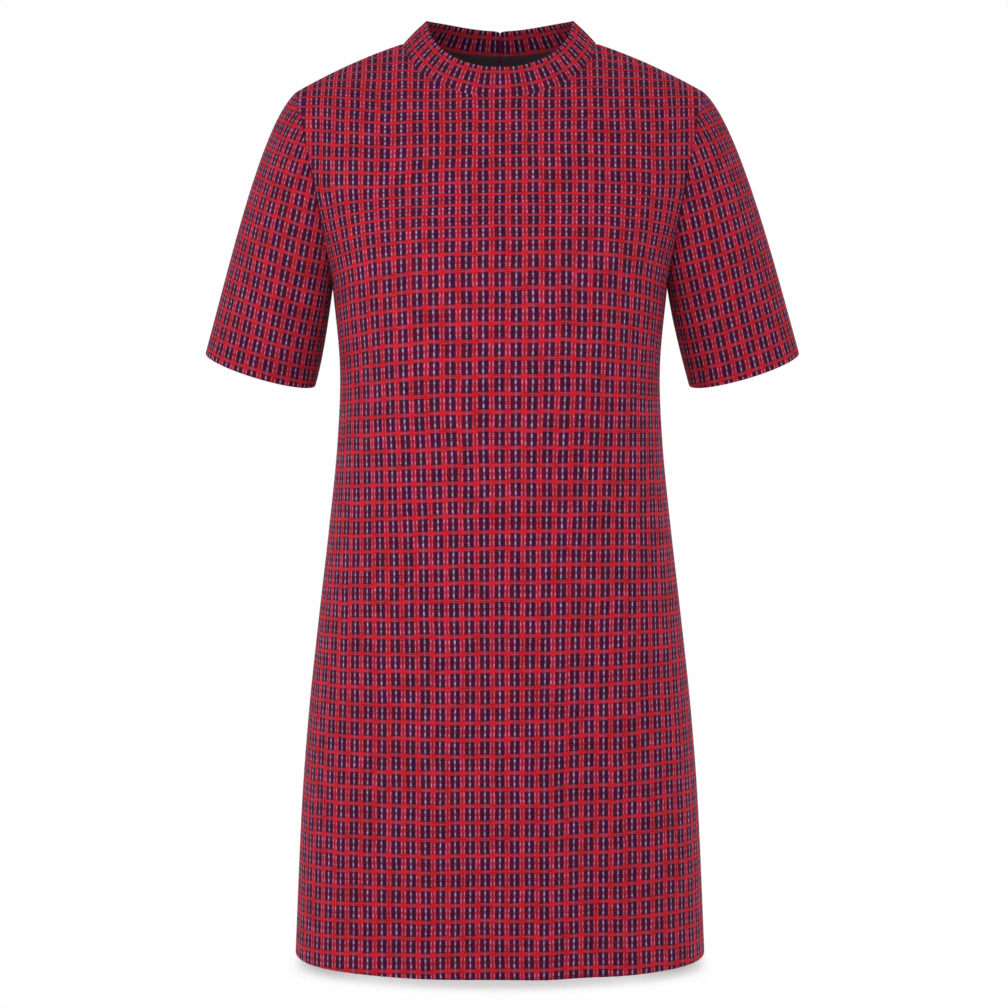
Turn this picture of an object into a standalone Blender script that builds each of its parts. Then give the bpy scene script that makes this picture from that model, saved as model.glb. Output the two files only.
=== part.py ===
"""Shift dress with a stand collar, set-in short sleeves and a centre-back zip.

The dress is modelled as it hangs on the body, hollow, in metres. +Z is up, the
front faces -Y and +X is the viewer's right. The origin lies midway between the
two points where the shoulder seams meet the collar.

Every cloth piece is a flat slab (a grid that is extruded once) whose points are
then carried to their place by a formula: `u` runs across the piece, `v` along
it and `depth` into the wall. Neighbouring pieces use the same seam lines, so
they meet 0.3 mm apart.
"""
import math
from functools import lru_cache

import bmesh
import bpy
from mathutils import Matrix, Vector

# ---------------------------------------------------------------- dimensions
CLOTH = 0.0016            # wall of a single layer
COLLAR_CLOTH = 0.0024     # the band is doubled
HEM_CLOTH = 0.0030        # the hems are turned up
HEM_DEPTH = 0.028
SLEEVE_HEM_DEPTH = 0.020
SEAM_GAP = 0.0003

HEM = -0.8515             # height of the skirt's lower edge
UNDERARM = Vector((0.1565, 0.0, -0.2245))
SHOULDER_TIP = Vector((0.190, 0.0, -0.045))
NECK_SIDE = 0.090         # half width of the neck seam
NECK_FRONT = Vector((0.0, -0.077, -0.054))
NECK_BACK = Vector((0.0, 0.052, -0.0175))
NECK_SPRING = 0.020       # how strongly the panels sweep in to the neck's sides
NECK_RISE = {-1: 0.52, 1: 0.20}           # how steeply they arrive there
ARMHOLE_REACH = {-1: 0.057, 1: 0.062}     # how far it bows to front and back
ARMHOLE_INSET = 0.003     # it curves in by this much at its middle

COLLAR_SIDE = Vector((0.0677, -0.003, 0.0214))
COLLAR_FRONT = Vector((0.0, -0.0590, -0.0255))
COLLAR_BACK = Vector((0.0, 0.046, 0.015))
COLLAR_BULGE = 0.0008
NOTCH_WIDTH = 0.0018      # rounding of the band's two ends at the top

SLEEVE_HEM_OUTER = Vector((0.2795, 0.015, -0.2885))
SLEEVE_HEM_INNER = Vector((0.1760, 0.015, -0.3195))
SLEEVE_HEM_HALF_DEPTH = 0.052
SLEEVE_HEM_TILT = math.radians(8)         # its front edge is the lower one
SLEEVE_SWAY = 0.0022      # both hang this much towards +X
# How the sleeve leaves the armhole, and how it falls at its hem, both as shares
# of its length.
SLEEVE_LEAVES = {"top": (0.37, 0, -0.31), "middle": (0.60, 0.13, -0.47), "underarm": (0.11, 0, -0.89)}
SLEEVE_FALL = Vector((0.265, 0.03, -0.93))

# Half width of the body at the side seams, by height.
SIDE_LINE = (
    # height, half_width
    (-0.8515, 0.1932),
    (-0.710, 0.1865),
    (-0.617, 0.1791),
    (-0.523, 0.1687),
    (-0.447, 0.1598),
    (-0.372, 0.1523),
    (-0.300, 0.1497),
    (-0.2245, 0.1565),
)
# Distance of the centre front and the centre back from the side seams' plane.
CENTRE_LINES = (
    # height, front_depth, back_depth
    (-0.8515, 0.149, 0.135),
    (-0.700, 0.147, 0.134),
    (-0.600, 0.145, 0.130),
    (-0.500, 0.143, 0.121),
    (-0.400, 0.144, 0.112),
    (-0.310, 0.1485, 0.112),
    (-0.265, 0.1515, 0.115),
    (-0.2245, 0.1515, 0.1175),
    (-0.170, 0.1440, 0.1170),
    (-0.120, 0.1240, 0.109),
    (-0.070, 0.0900, 0.089),
    (-0.054, 0.077, 0.0795),
    (-0.0175, 0.058, 0.052),
)
SQUARENESS = {"chest": 2.3, "hem": 2.5}   # exponent of the oval sections

# Soft folds in the cloth, each along a line on the body, by centre and length.
# half is -1 for the front and 1 for the back; x is given for the right side.
FOLDS = (
    # half, x, height, lean (degrees from upright), length, width, depth
    (-1, 0.128, -0.300, 15.0, 0.170, 0.034, -0.0045),
    (-1, 0.100, -0.250, 12.0, 0.150, 0.040, 0.0025),
    (-1, 0.060, -0.800, 3.0, 0.260, 0.060, 0.0020),
    (-1, 0.130, -0.760, 6.0, 0.300, 0.055, -0.0025),
    (1, 0.120, -0.285, 18.0, 0.160, 0.036, -0.0045),
    (1, 0.070, -0.400, 10.0, 0.200, 0.060, -0.0030),
    (1, 0.050, -0.780, 3.0, 0.300, 0.060, 0.0030),
    (1, 0.125, -0.740, 6.0, 0.300, 0.055, -0.0030),
)

# Divisions of the grids: the rows of a panel from hem to underarm and from
# there to the shoulder, its columns over the neck and over each shoulder.
BODY_ROWS = 17
ARMHOLE_ROWS = 12
NECK_COLUMNS = 14
SHOULDER_COLUMNS = 7
SLEEVE_ROWS = 8
COLLAR_ROWS = (0.0, 0.34, 0.68, 0.90, 1.0)

NECK_SHARE = NECK_COLUMNS / (NECK_COLUMNS + 2 * SHOULDER_COLUMNS)

# The concealed zip at the centre back.
TAPE_WIDTH = 0.012
TAPE_CLOTH = 0.0008
TAPE_TOP = -0.030
TAPE_FOOT = -0.500
SLIDER_HEIGHT = 0.0045    # of the pull's axis above the origin
SLIDER_WIDTH = 0.0046
SLIDER_LENGTH = 0.0074
SLIDER_THICK = 0.0016
BRIDGE_INNER = 0.0008     # radius of the eye under the slider's bridge
BRIDGE_OUTER = 0.0016
BRIDGE_WIDTH = 0.0012
BAR_RADIUS = 0.0005       # the pull's bar, which turns in that eye
PULL_CLEARANCE = 0.0003
PULL_LENGTH = 0.0200
PULL_THICK = 0.0010
PULL_ARM = 0.0010         # width of the two arms beside the bridge
PULL_WINDOW = 0.0024      # from the bar's axis to the foot of the window
PULL_WIDTH = 0.0058       # at the drop's widest

COLOURS = {
    # slot: (red, green, blue), roughness, metallic
    "check cloth": ((0.26, 0.022, 0.050), 0.85, 0.0),
    "zip tape": ((0.020, 0.012, 0.030), 0.90, 0.0),
    "zip metal": ((0.045, 0.018, 0.030), 0.40, 0.6),
}


SAMPLES = 96              # points that a level of the body is measured on


# ------------------------------------------------------------------- helpers
def mix(a, b, t):
    return a + (b - a) * t


def smooth(t):
    t = min(max(t, 0.0), 1.0)
    return t * t * (3 - 2 * t)


def table_value(table, column, height):
    """Smooth curve through one column of a table that is sorted by height."""
    rows = [(row[0], row[column]) for row in table]
    if height <= rows[0][0]:
        return rows[0][1]
    if height >= rows[-1][0]:
        return rows[-1][1]
    upper = next(i for i, row in enumerate(rows) if row[0] >= height)
    (h0, y0), (h1, y1) = rows[upper - 1], rows[upper]

    def slope(i):
        low, high = max(i - 1, 0), min(i + 1, len(rows) - 1)
        return (rows[high][1] - rows[low][1]) / (rows[high][0] - rows[low][0])

    return hermite(y0, y1, slope(upper - 1) * (h1 - h0), slope(upper) * (h1 - h0),
                   (height - h0) / (h1 - h0))


def hermite(start, end, leave, arrive, t):
    """Cubic curve from start to end with the two end tangents."""
    t2, t3 = t * t, t * t * t
    return (start * (2 * t3 - 3 * t2 + 1) + leave * (t3 - 2 * t2 + t)
            + end * (3 * t2 - 2 * t3) + arrive * (t3 - t2))


# --------------------------------------------------------------- seam lines
def armhole(half, v):
    """Point of the right armhole; v is 1 under the arm and 2 at the shoulder."""
    angle = math.pi * (v - 1.5)
    middle = (UNDERARM + SHOULDER_TIP) / 2
    point = middle + (SHOULDER_TIP - middle) * math.sin(angle)
    point.x -= ARMHOLE_INSET * math.cos(angle)
    point.y = half * ARMHOLE_REACH[half] * math.cos(angle)
    return point


def neck_seam(half, share):
    """Point of the neck seam; share is 0 at the centre and 1 at the side."""
    angle = math.pi / 2 * (1 - share)
    centre = NECK_FRONT if half < 0 else NECK_BACK
    fall = 1.2 if half < 0 else 1.6
    return Vector((NECK_SIDE * math.cos(angle), centre.y * math.sin(angle),
                   centre.z * math.sin(angle) ** fall))


def shoulder_seam(share):
    """Point of the shoulder seam, from the collar (0) to the tip (1)."""
    fall = 0.73 * share + 0.27 * share * share
    return Vector((mix(NECK_SIDE, SHOULDER_TIP.x, share), 0, SHOULDER_TIP.z * fall))


# -------------------------------------------------------------------- torso
def centre_depth(half, height):
    return table_value(CENTRE_LINES, 1 if half < 0 else 2, height)


def squareness(height):
    return mix(SQUARENESS["hem"], SQUARENESS["chest"], smooth((height - HEM) / (UNDERARM.z - HEM)))


def half_width(half, height):
    """Half width of the oval at a height; it ends at the armhole above the underarm."""
    if height <= UNDERARM.z:
        return table_value(SIDE_LINE, 1, height)
    middle, reach = (UNDERARM.z + SHOULDER_TIP.z) / 2, (SHOULDER_TIP.z - UNDERARM.z) / 2
    edge = armhole(half, 1.5 + math.asin(min((height - middle) / reach, 1)) / math.pi)
    square, depth = squareness(height), centre_depth(half, height)
    return edge.x / (1 - (abs(edge.y) / depth) ** square) ** (1 / square)


@lru_cache(maxsize=None)
def section(half, v):
    """One level of a body panel, as points from the centre to the edge.

    v is 0 at the hem, 1 at the underarm and 2 at the shoulder. The level ends
    at the side seam or at the armhole. Also gives the length up to each point.
    """
    if v <= 1:
        height = mix(HEM, UNDERARM.z, v)
        edge = Vector((half_width(half, height), 0, height))
    else:
        neck = NECK_FRONT if half < 0 else NECK_BACK
        height = mix(UNDERARM.z, neck.z, v - 1)
        edge = armhole(half, v)
    last = math.asin(min(1.0, (edge.x / half_width(half, edge.z)) ** (squareness(edge.z) / 2)))
    points, lengths = [], [0.0]
    for i in range(SAMPLES + 1):
        share = i / SAMPLES
        z = mix(height, edge.z, smooth(share))
        power = 2 / squareness(z)
        x = half_width(half, z) * math.sin(last * share) ** power
        y = half * centre_depth(half, z) * max(math.cos(last * share), 0.0) ** power
        points.append(Vector((x, y, z)))
        if i:
            lengths.append(lengths[-1] + (points[i] - points[i - 1]).length)
    return points, lengths


def section_point(half, u, v):
    points, lengths = section(half, v)
    target = abs(u) * lengths[-1]
    i = next((i for i, length in enumerate(lengths) if length >= target), len(points) - 1)
    i = max(i, 1)
    t = (target - lengths[i - 1]) / (lengths[i] - lengths[i - 1])
    return points[i - 1].lerp(points[i], t)


def top_edge(half, u):
    share = abs(u)
    if share <= NECK_SHARE:
        return neck_seam(half, share / NECK_SHARE)
    return shoulder_seam((share - NECK_SHARE) / (1 - NECK_SHARE))


def fold_depth(half, point):
    """How far the folds push the cloth out (or in) at a point of the body."""
    total = 0.0
    for side, x, height, lean, length, width, depth in FOLDS:
        if side != half:
            continue
        tilt = math.radians(lean)
        dx, dz = abs(point.x) - x, point.z - height
        along = (dz * math.cos(tilt) - dx * math.sin(tilt)) / (length / 2)
        across = (dx * math.cos(tilt) + dz * math.sin(tilt)) / (width / 2)
        total += depth * math.exp(-along * along - across * across)
    return total


def yoke(half, u, v):
    """Upper chest: each column runs on from its level to the shoulder or neck."""
    start = section_point(half, u, 1.5)
    step = 0.02
    leave = (start - section_point(half, u, 1.5 - step)) / step * 0.5
    end = top_edge(half, u)
    run = end - start
    beside_neck = smooth(abs(u) / NECK_SHARE)
    out_along = max(abs(u) - NECK_SHARE, 0) / (1 - NECK_SHARE)
    level = mix(mix(1.1, 1.35, beside_neck), 1.5, out_along)
    rise = mix(mix(1.0, NECK_RISE[half], beside_neck), 0.12, smooth(out_along))
    sweep = -NECK_SPRING * beside_neck * (1 - smooth(out_along / 0.6))
    arrive = Vector((sweep, run.y * level, run.z * rise))
    return hermite(start, end, leave, arrive, (v - 1.5) * 2)


def plain_torso(half, u, v):
    """Body panel before its folds, on the right side for any u."""
    if v <= 1.5:
        return section_point(half, u, v)
    towards_edge = smooth((abs(u) - 0.5) / 0.5)
    return yoke(half, u, v) + (armhole(half, v) - yoke(half, 1, v)) * towards_edge


def torso(half, u, v):
    """Outer face of the front (half -1) or the back (half 1)."""
    point = plain_torso(half, u, v)
    if v < 1.95 and abs(u) < 0.999:
        fade = smooth((1 - abs(u)) / 0.10) * smooth((1.95 - v) / 0.2)
        point.y += half * fold_depth(half, point) * fade
    if u < 0:
        point.x = -point.x
    return point


# ------------------------------------------------------------------- sleeve
def sleeve_hem(a):
    """Point of the right sleeve's hem; a is 0 outside and +-1 inside."""
    centre = (SLEEVE_HEM_OUTER + SLEEVE_HEM_INNER) / 2
    across = (SLEEVE_HEM_OUTER - SLEEVE_HEM_INNER) / 2
    forward = Vector((0, -math.cos(SLEEVE_HEM_TILT), -math.sin(SLEEVE_HEM_TILT)))
    angle = math.pi * a
    return centre + across * math.cos(angle) + forward * SLEEVE_HEM_HALF_DEPTH * math.sin(angle)


def sleeve(side, a, t):
    """Outer face of a sleeve; a goes round it (front positive), t down it."""
    half = -1 if a >= 0 else 1
    start = armhole(half, 2 - abs(a))
    end = sleeve_hem(a) + Vector((side * SLEEVE_SWAY, 0, 0))
    chord = (end - start).length
    top = math.cos(math.pi * a)
    leave = Vector(SLEEVE_LEAVES["middle"])
    leave.y *= half
    leave = leave.lerp(Vector(SLEEVE_LEAVES["top" if top > 0 else "underarm"]), abs(top))
    point = hermite(start, end, leave * chord, SLEEVE_FALL * chord, t)
    point.x *= side
    return point


# ------------------------------------------------------------------- collar
def collar(a, w):
    """Outer face of the collar; a is 0 at the front and +-1 at the back."""
    share = abs(a) * 2
    half = -1 if share <= 1 else 1
    share = share if half < 0 else 2 - share
    base = neck_seam(half, share)
    angle = math.pi / 2 * (1 - share)
    centre = COLLAR_FRONT if half < 0 else COLLAR_BACK
    level = math.sin(angle) if half < 0 else math.sin(angle) ** 4
    top = Vector((COLLAR_SIDE.x * math.cos(angle),
                  centre.y * math.sin(angle) + COLLAR_SIDE.y * math.cos(angle),
                  mix(COLLAR_SIDE.z, centre.z, level)))
    point = base.lerp(top, w)
    outward = Vector((point.x, point.y, 0)).normalized()
    point += outward * COLLAR_BULGE * math.sin(math.pi * w)
    if a < 0:
        point.x = -point.x
    return point


# -------------------------------------------------------------- wall normals
STEP = 1e-3


def normal(place, u, v, low, high):
    """Outward direction of a surface, by small steps that stay inside it."""
    u0, u1 = max(u - STEP, low[0]), min(u + STEP, high[0])
    v0, v1 = max(v - STEP, low[1]), min(v + STEP, high[1])
    across = place(u1, v) - place(u0, v)
    along = place(u, v1) - place(u, v0)
    return across.cross(along).normalized()


def torso_normal(half, u, v):
    edge = 1 if abs(u) < 1 else 1 - STEP
    n = normal(lambda s, t: torso(half, s, t), u * edge, v, (-1, 0), (1, 2))
    return n if half < 0 else -n


def sleeve_normal(side, a, t):
    low, high = ((0, 0), (1, 1)) if a >= 0 else ((-1, 0), (0, 1))
    return normal(lambda s, r: sleeve(side, s, r), a, t, low, high) * side


def collar_normal(a, w):
    limit = 1 - STEP
    return normal(collar, max(min(a, limit), -limit), w, (-1, 0), (1, 1))


def shared(*normals):
    total = Vector((0, 0, 0))
    for n in normals:
        total += n
    return total.normalized()


def collar_place(half, u):
    """The collar's coordinate at a panel's neck seam."""
    share = abs(u) / NECK_SHARE
    a = share / 2 if half < 0 else 1 - share / 2
    return math.copysign(a, u)


def torso_wall(half, u, v):
    """Direction into the wall's thickness, the same on both sides of a seam."""
    own = torso_normal(half, u, v)
    at_edge, at_top = abs(u) > 1 - 1e-6, v > 2 - 1e-6
    side = math.copysign(1, u)
    if at_edge and v > 1 + 1e-6:
        a = (2 - v) * (1 if half < 0 else -1)
        other = sleeve_normal(side, a, 0)
        if at_top:
            return shared(own, torso_normal(-half, u, v), other)
        return shared(own, other) if (other.x - own.x) * side > 0 else own
    if at_edge:
        return shared(own, torso_normal(-half, u, v))
    if at_top and abs(u) > NECK_SHARE + 1e-6:
        return shared(own, torso_normal(-half, u, v))
    if at_top and abs(u) > NECK_SHARE - 1e-6:
        return shared(own, torso_normal(-half, u, v), collar_normal(collar_place(half, u), 0))
    if at_top:
        return shared(own, collar_normal(collar_place(half, u), 0))
    return own


def sleeve_wall(side, a, t):
    own = sleeve_normal(side, a, t)
    if t > 1e-6:
        return own
    half = -1 if a >= 0 else 1
    if abs(a) < 1e-6:
        return shared(own, torso_normal(-1, side, 2), torso_normal(1, side, 2))
    if abs(a) > 1 - 1e-6:
        return shared(own, sleeve_normal(side, -a, t))
    other = torso_normal(half, side, 2 - abs(a))
    return shared(own, other) if (own.x - other.x) * side > 0 else own


def collar_wall(a, w):
    own = collar_normal(a, w)
    if w > 1e-6:
        return own
    share = abs(a) * 2
    half = -1 if share <= 1 else 1
    u = math.copysign((share if half < 0 else 2 - share) * NECK_SHARE, a)
    if abs(share - 1) < 1e-6:
        return shared(own, torso_normal(-1, u, 2), torso_normal(1, u, 2))
    return shared(own, torso_normal(half, u, 2))


# -------------------------------------------------------------------- solids
def material(slot):
    colour, roughness, metallic = COLOURS[slot]
    made = bpy.data.materials.get(slot) or bpy.data.materials.new(slot)
    made.use_nodes = True
    shader = made.node_tree.nodes["Principled BSDF"]
    shader.inputs["Base Color"].default_value = (*colour, 1)
    shader.inputs["Roughness"].default_value = roughness
    shader.inputs["Metallic"].default_value = metallic
    return made


def add_object(name, slot, bm):
    mesh = bpy.data.meshes.new(name)
    bm.to_mesh(mesh)
    bm.free()
    mesh.shade_smooth()
    mesh.set_sharp_from_angle(angle=math.radians(50))
    mesh.materials.append(material(slot))
    made = bpy.data.objects.new(name, mesh)
    bpy.context.collection.objects.link(made)
    return made


def slab(columns, rows, place, closed=False):
    """Carry a flat slab to its place.

    columns and rows list the coordinates of the grid's lines. place(u, v, depth)
    gives a point of the wall, with depth 0 on its outer face and 1 inside. A
    closed slab's last column is joined to its first, as on a tube.
    """
    bm = bmesh.new()
    bmesh.ops.create_grid(bm, x_segments=len(columns) - 1, y_segments=len(rows) - 1, size=0.5)
    outer = list(bm.faces)
    made = bmesh.ops.extrude_face_region(bm, geom=outer)
    inner = [item for item in made["geom"] if isinstance(item, bmesh.types.BMVert)]
    bmesh.ops.translate(bm, verts=inner, vec=(0, 0, -1))
    bmesh.ops.recalc_face_normals(bm, faces=bm.faces)
    if closed:
        ends = [face for face in bm.faces if all(abs(abs(v.co.x) - 0.5) < 1e-6 for v in face.verts)]
        bmesh.ops.delete(bm, geom=ends, context="FACES_ONLY")
    for vert in bm.verts:
        column = round((vert.co.x + 0.5) * (len(columns) - 1))
        row = round((vert.co.y + 0.5) * (len(rows) - 1))
        if closed and column == len(columns) - 1:
            column = 0
        vert.co = place(columns[column], rows[row], -vert.co.z)
    if closed:
        bmesh.ops.remove_doubles(bm, verts=bm.verts, dist=1e-6)
    bmesh.ops.triangulate(bm, faces=bm.faces, quad_method="SHORT_EDGE")
    if bm.calc_volume(signed=True) < 0:
        bmesh.ops.reverse_faces(bm, faces=bm.faces)
    return bm


def panel_rows():
    hem_top = HEM_DEPTH / (UNDERARM.z - HEM)
    rows = [0, hem_top, hem_top * 1.06]
    rows += [mix(hem_top, 1, i / BODY_ROWS) for i in range(1, BODY_ROWS + 1)]
    return rows + [1 + i / ARMHOLE_ROWS for i in range(1, ARMHOLE_ROWS + 1)]


def section_height(v):
    """Height of the centre back at a row."""
    return mix(HEM, UNDERARM.z, v) if v <= 1 else mix(UNDERARM.z, NECK_BACK.z, v - 1)


def panel(name, half, low_u, high_u):
    """The front, or one half of the back."""
    per_side = NECK_COLUMNS // 2 + SHOULDER_COLUMNS
    columns = [i / per_side for i in range(-per_side, per_side + 1)
               if low_u - 1e-6 <= i / per_side <= high_u + 1e-6]
    hem_top = HEM_DEPTH / (UNDERARM.z - HEM)

    def place(u, v, depth):
        point = torso(half, u, v)
        thick = HEM_CLOTH if v <= hem_top + 1e-6 else CLOTH
        point -= torso_wall(half, u, v) * thick * depth
        gap = SEAM_GAP / 2
        at_edge, at_top = abs(u) > 1 - 1e-6, v > 2 - 1e-6
        if at_edge and v > 1 - 1e-6:
            point.x -= math.copysign(gap, u)
        if (at_edge and v < 1 + 1e-6) or (at_top and abs(u) > NECK_SHARE - 1e-6):
            point.y += half * gap
        if at_top and abs(u) < NECK_SHARE + 1e-6:
            a = collar_place(half, u)
            point -= (collar(a, 0.1) - collar(a, 0)).normalized() * gap
        if half > 0 and abs(u) < 1e-6:
            point.x += gap if high_u > 0 else -gap
        return point

    return add_object(name, "check cloth", slab(columns, panel_rows(), place))


def sleeve_piece(name, side):
    count = 2 * ARMHOLE_ROWS
    columns = [-1 + 2 * i / count for i in range(count + 1)]
    chord = (SLEEVE_HEM_INNER - UNDERARM).length
    band = 1 - SLEEVE_HEM_DEPTH / (chord * 2)
    rows = [band * i / SLEEVE_ROWS for i in range(SLEEVE_ROWS)] + [band * 0.99, band, 1.0]

    def place(a, t, depth):
        point = sleeve(side, a, t)
        thick = HEM_CLOTH if t >= band - 1e-6 else CLOTH
        point -= sleeve_wall(side, a, t) * thick * depth
        if t < 1e-6:
            point.x += side * SEAM_GAP / 2
        return point

    return add_object(name, "check cloth", slab(columns, rows, place, closed=True))


def collar_piece():
    columns = [-1 + i / NECK_COLUMNS for i in range(2 * NECK_COLUMNS + 1)]

    def place(a, w, depth):
        point = collar(a, w)
        point -= collar_wall(a, w) * COLLAR_CLOTH * depth
        if w < 1e-6:
            point += (collar(a, 0.1) - collar(a, 0)).normalized() * SEAM_GAP / 2
        if abs(a) > 1 - 1e-6:
            opening = SEAM_GAP / 2 + NOTCH_WIDTH * max(0, (w - 0.85) / 0.15) ** 2
            point.x += opening if a > 0 else -opening
        return point

    return add_object("collar", "check cloth", slab(columns, COLLAR_ROWS, place))


def zip_tape(name, side):
    """One tape of the zip, laid on the inside of its back panel."""
    rows = [v for v in panel_rows() if TAPE_FOOT < section_height(v) < TAPE_TOP]
    first_column = side / (NECK_COLUMNS // 2 + SHOULDER_COLUMNS)

    def place(share, v, depth):
        inset = CLOTH + SEAM_GAP + TAPE_CLOTH * depth
        middle, beside = (torso(1, u, v) - torso_wall(1, u, v) * inset
                          for u in (0.0, first_column))
        width = abs(beside.x - middle.x)
        return middle.lerp(beside, mix(SEAM_GAP / 2, TAPE_WIDTH, share) / width)

    return add_object(name, "zip tape", slab([0, 1], rows, place))


def slider_frame():
    """Turns a slider drawn flat on the XY plane to its place on the collar.

    Flat, its length runs along +Y and its outer face looks along +Z, with the
    pull's axis along X through the origin.
    """
    base, top = collar(1, 0), collar(1, 1)
    up = (top - base).normalized()
    out = up.cross(Vector((1, 0, 0)))
    share = (SLIDER_HEIGHT - base.z) / (top.z - base.z)
    surface = collar(1, share)
    rise = SEAM_GAP + SLIDER_THICK + PULL_CLEARANCE + BAR_RADIUS
    place = Matrix((up.cross(out), up, out)).transposed().to_4x4()
    place.translation = surface + out * rise
    return place


def boolean_union(target, tool):
    join = target.modifiers.new("join", "BOOLEAN")
    join.operation = "UNION"
    join.solver = "EXACT"
    join.object = tool
    tool.hide_render = True
    tool.display_type = "WIRE"


def zip_slider(place):
    floor = -(BAR_RADIUS + PULL_CLEARANCE)
    bm = bmesh.new()
    bmesh.ops.create_cube(bm, size=1, matrix=Matrix.Diagonal((SLIDER_WIDTH, SLIDER_LENGTH, SLIDER_THICK, 1)))
    upright = [edge for edge in bm.edges if abs((edge.verts[0].co - edge.verts[1].co).z) > 1e-6]
    bmesh.ops.bevel(bm, geom=upright, offset=0.0012, segments=3, profile=0.5, affect="EDGES", material=-1)
    rim = [edge for edge in bm.edges if all(v.co.z > 0 for v in edge.verts)]
    bmesh.ops.bevel(bm, geom=rim, offset=0.0004, segments=2, profile=0.5, affect="EDGES", material=-1)
    bmesh.ops.translate(bm, verts=bm.verts, vec=(0, 0, floor - SLIDER_THICK / 2))
    bmesh.ops.transform(bm, matrix=place, verts=bm.verts)
    slider = add_object("zip_slider", "zip metal", bm)

    bridge = bmesh.new()
    foot = floor - 0.0006
    corners = [(BRIDGE_WIDTH * sx / 2, radius, 0) for sx, radius in
               ((-1, BRIDGE_INNER), (1, BRIDGE_INNER), (1, BRIDGE_OUTER), (-1, BRIDGE_OUTER))]
    face = bridge.faces.new([bridge.verts.new(corner) for corner in corners])
    made = bmesh.ops.extrude_face_region(bridge, geom=[face])
    leg = [item for item in made["geom"] if isinstance(item, bmesh.types.BMVert)]
    bmesh.ops.translate(bridge, verts=leg, vec=(0, 0, foot))
    arch = bmesh.ops.spin(bridge, geom=[face], axis=(1, 0, 0), cent=(0, 0, 0), steps=8,
                          angle=math.pi, use_merge=False)
    last = [item for item in arch["geom_last"] if isinstance(item, bmesh.types.BMFace)]
    made = bmesh.ops.extrude_face_region(bridge, geom=last)
    leg = [item for item in made["geom"] if isinstance(item, bmesh.types.BMVert)]
    bmesh.ops.translate(bridge, verts=leg, vec=(0, 0, foot))
    bmesh.ops.delete(bridge, geom=last, context="FACES")
    inside = [f for f in bridge.faces if all(len(edge.link_faces) > 2 for edge in f.edges)]
    bmesh.ops.delete(bridge, geom=inside, context="FACES")
    bmesh.ops.recalc_face_normals(bridge, faces=bridge.faces)
    bmesh.ops.transform(bridge, matrix=place, verts=bridge.verts)
    boolean_union(slider, add_object("bridge_tool", "zip metal", bridge))
    return slider


def zip_pull(place):
    """A drop-shaped tab with a window, whose top bar turns in the bridge."""
    inner = BRIDGE_WIDTH / 2 + PULL_CLEARANCE
    arm = inner + PULL_ARM
    outline = [(arm, BAR_RADIUS), (arm, -PULL_WINDOW)]
    centre, radius = -(PULL_LENGTH - PULL_WIDTH / 2), PULL_WIDTH / 2
    outline += [(radius * math.cos(angle), centre + radius * math.sin(angle))
                for angle in (math.radians(10 - 20 * i) for i in range(10))]
    outline += [(-arm, -PULL_WINDOW), (-arm, BAR_RADIUS)]
    bm = bmesh.new()
    plate = bm.faces.new([bm.verts.new((x, y, -PULL_THICK / 2)) for x, y in outline])
    made = bmesh.ops.extrude_face_region(bm, geom=[plate])
    top = [item for item in made["geom"] if isinstance(item, bmesh.types.BMVert)]
    bmesh.ops.translate(bm, verts=top, vec=(0, 0, PULL_THICK))
    bmesh.ops.recalc_face_normals(bm, faces=bm.faces)
    bmesh.ops.transform(bm, matrix=place, verts=bm.verts)
    pull = add_object("zip_pull", "zip metal", bm)
    window = bmesh.new()
    depth = PULL_WINDOW - BAR_RADIUS
    size = Matrix.Diagonal((2 * inner, depth, 4 * PULL_THICK, 1))
    bmesh.ops.create_cube(window, size=1, matrix=Matrix.Translation((0, -BAR_RADIUS - depth / 2, 0)) @ size)
    bmesh.ops.transform(window, matrix=place, verts=window.verts)
    tool = add_object("window_tool", "zip metal", window)
    cut = pull.modifiers.new("window", "BOOLEAN")
    cut.operation = "DIFFERENCE"
    cut.solver = "EXACT"
    cut.object = tool
    tool.hide_render = True
    tool.display_type = "WIRE"
    return pull


def main():
    for old in list(bpy.data.objects):
        bpy.data.objects.remove(old, do_unlink=True)
    panel("front", -1, -1, 1)
    panel("back_left", 1, -1, 0)
    panel("back_right", 1, 0, 1)
    sleeve_piece("sleeve_left", -1)
    sleeve_piece("sleeve_right", 1)
    collar_piece()
    zip_tape("zip_tape_left", -1)
    zip_tape("zip_tape_right", 1)
    place = slider_frame()
    zip_slider(place)
    zip_pull(place)


main()
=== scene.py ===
# %% [markdown]
# # A shift dress in a woven check
#
# This lesson dresses a fixed model of a shift dress in Blender. The real thing
# is a short, lightly flared dress with a stand collar and short set-in sleeves,
# sewn from a matt jacquard: dark blocks between crimson stripes, with small
# pale dashes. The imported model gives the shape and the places. Nothing of it is
# moved, and each new piece is made in the same metres, so it needs no fitting.

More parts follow.
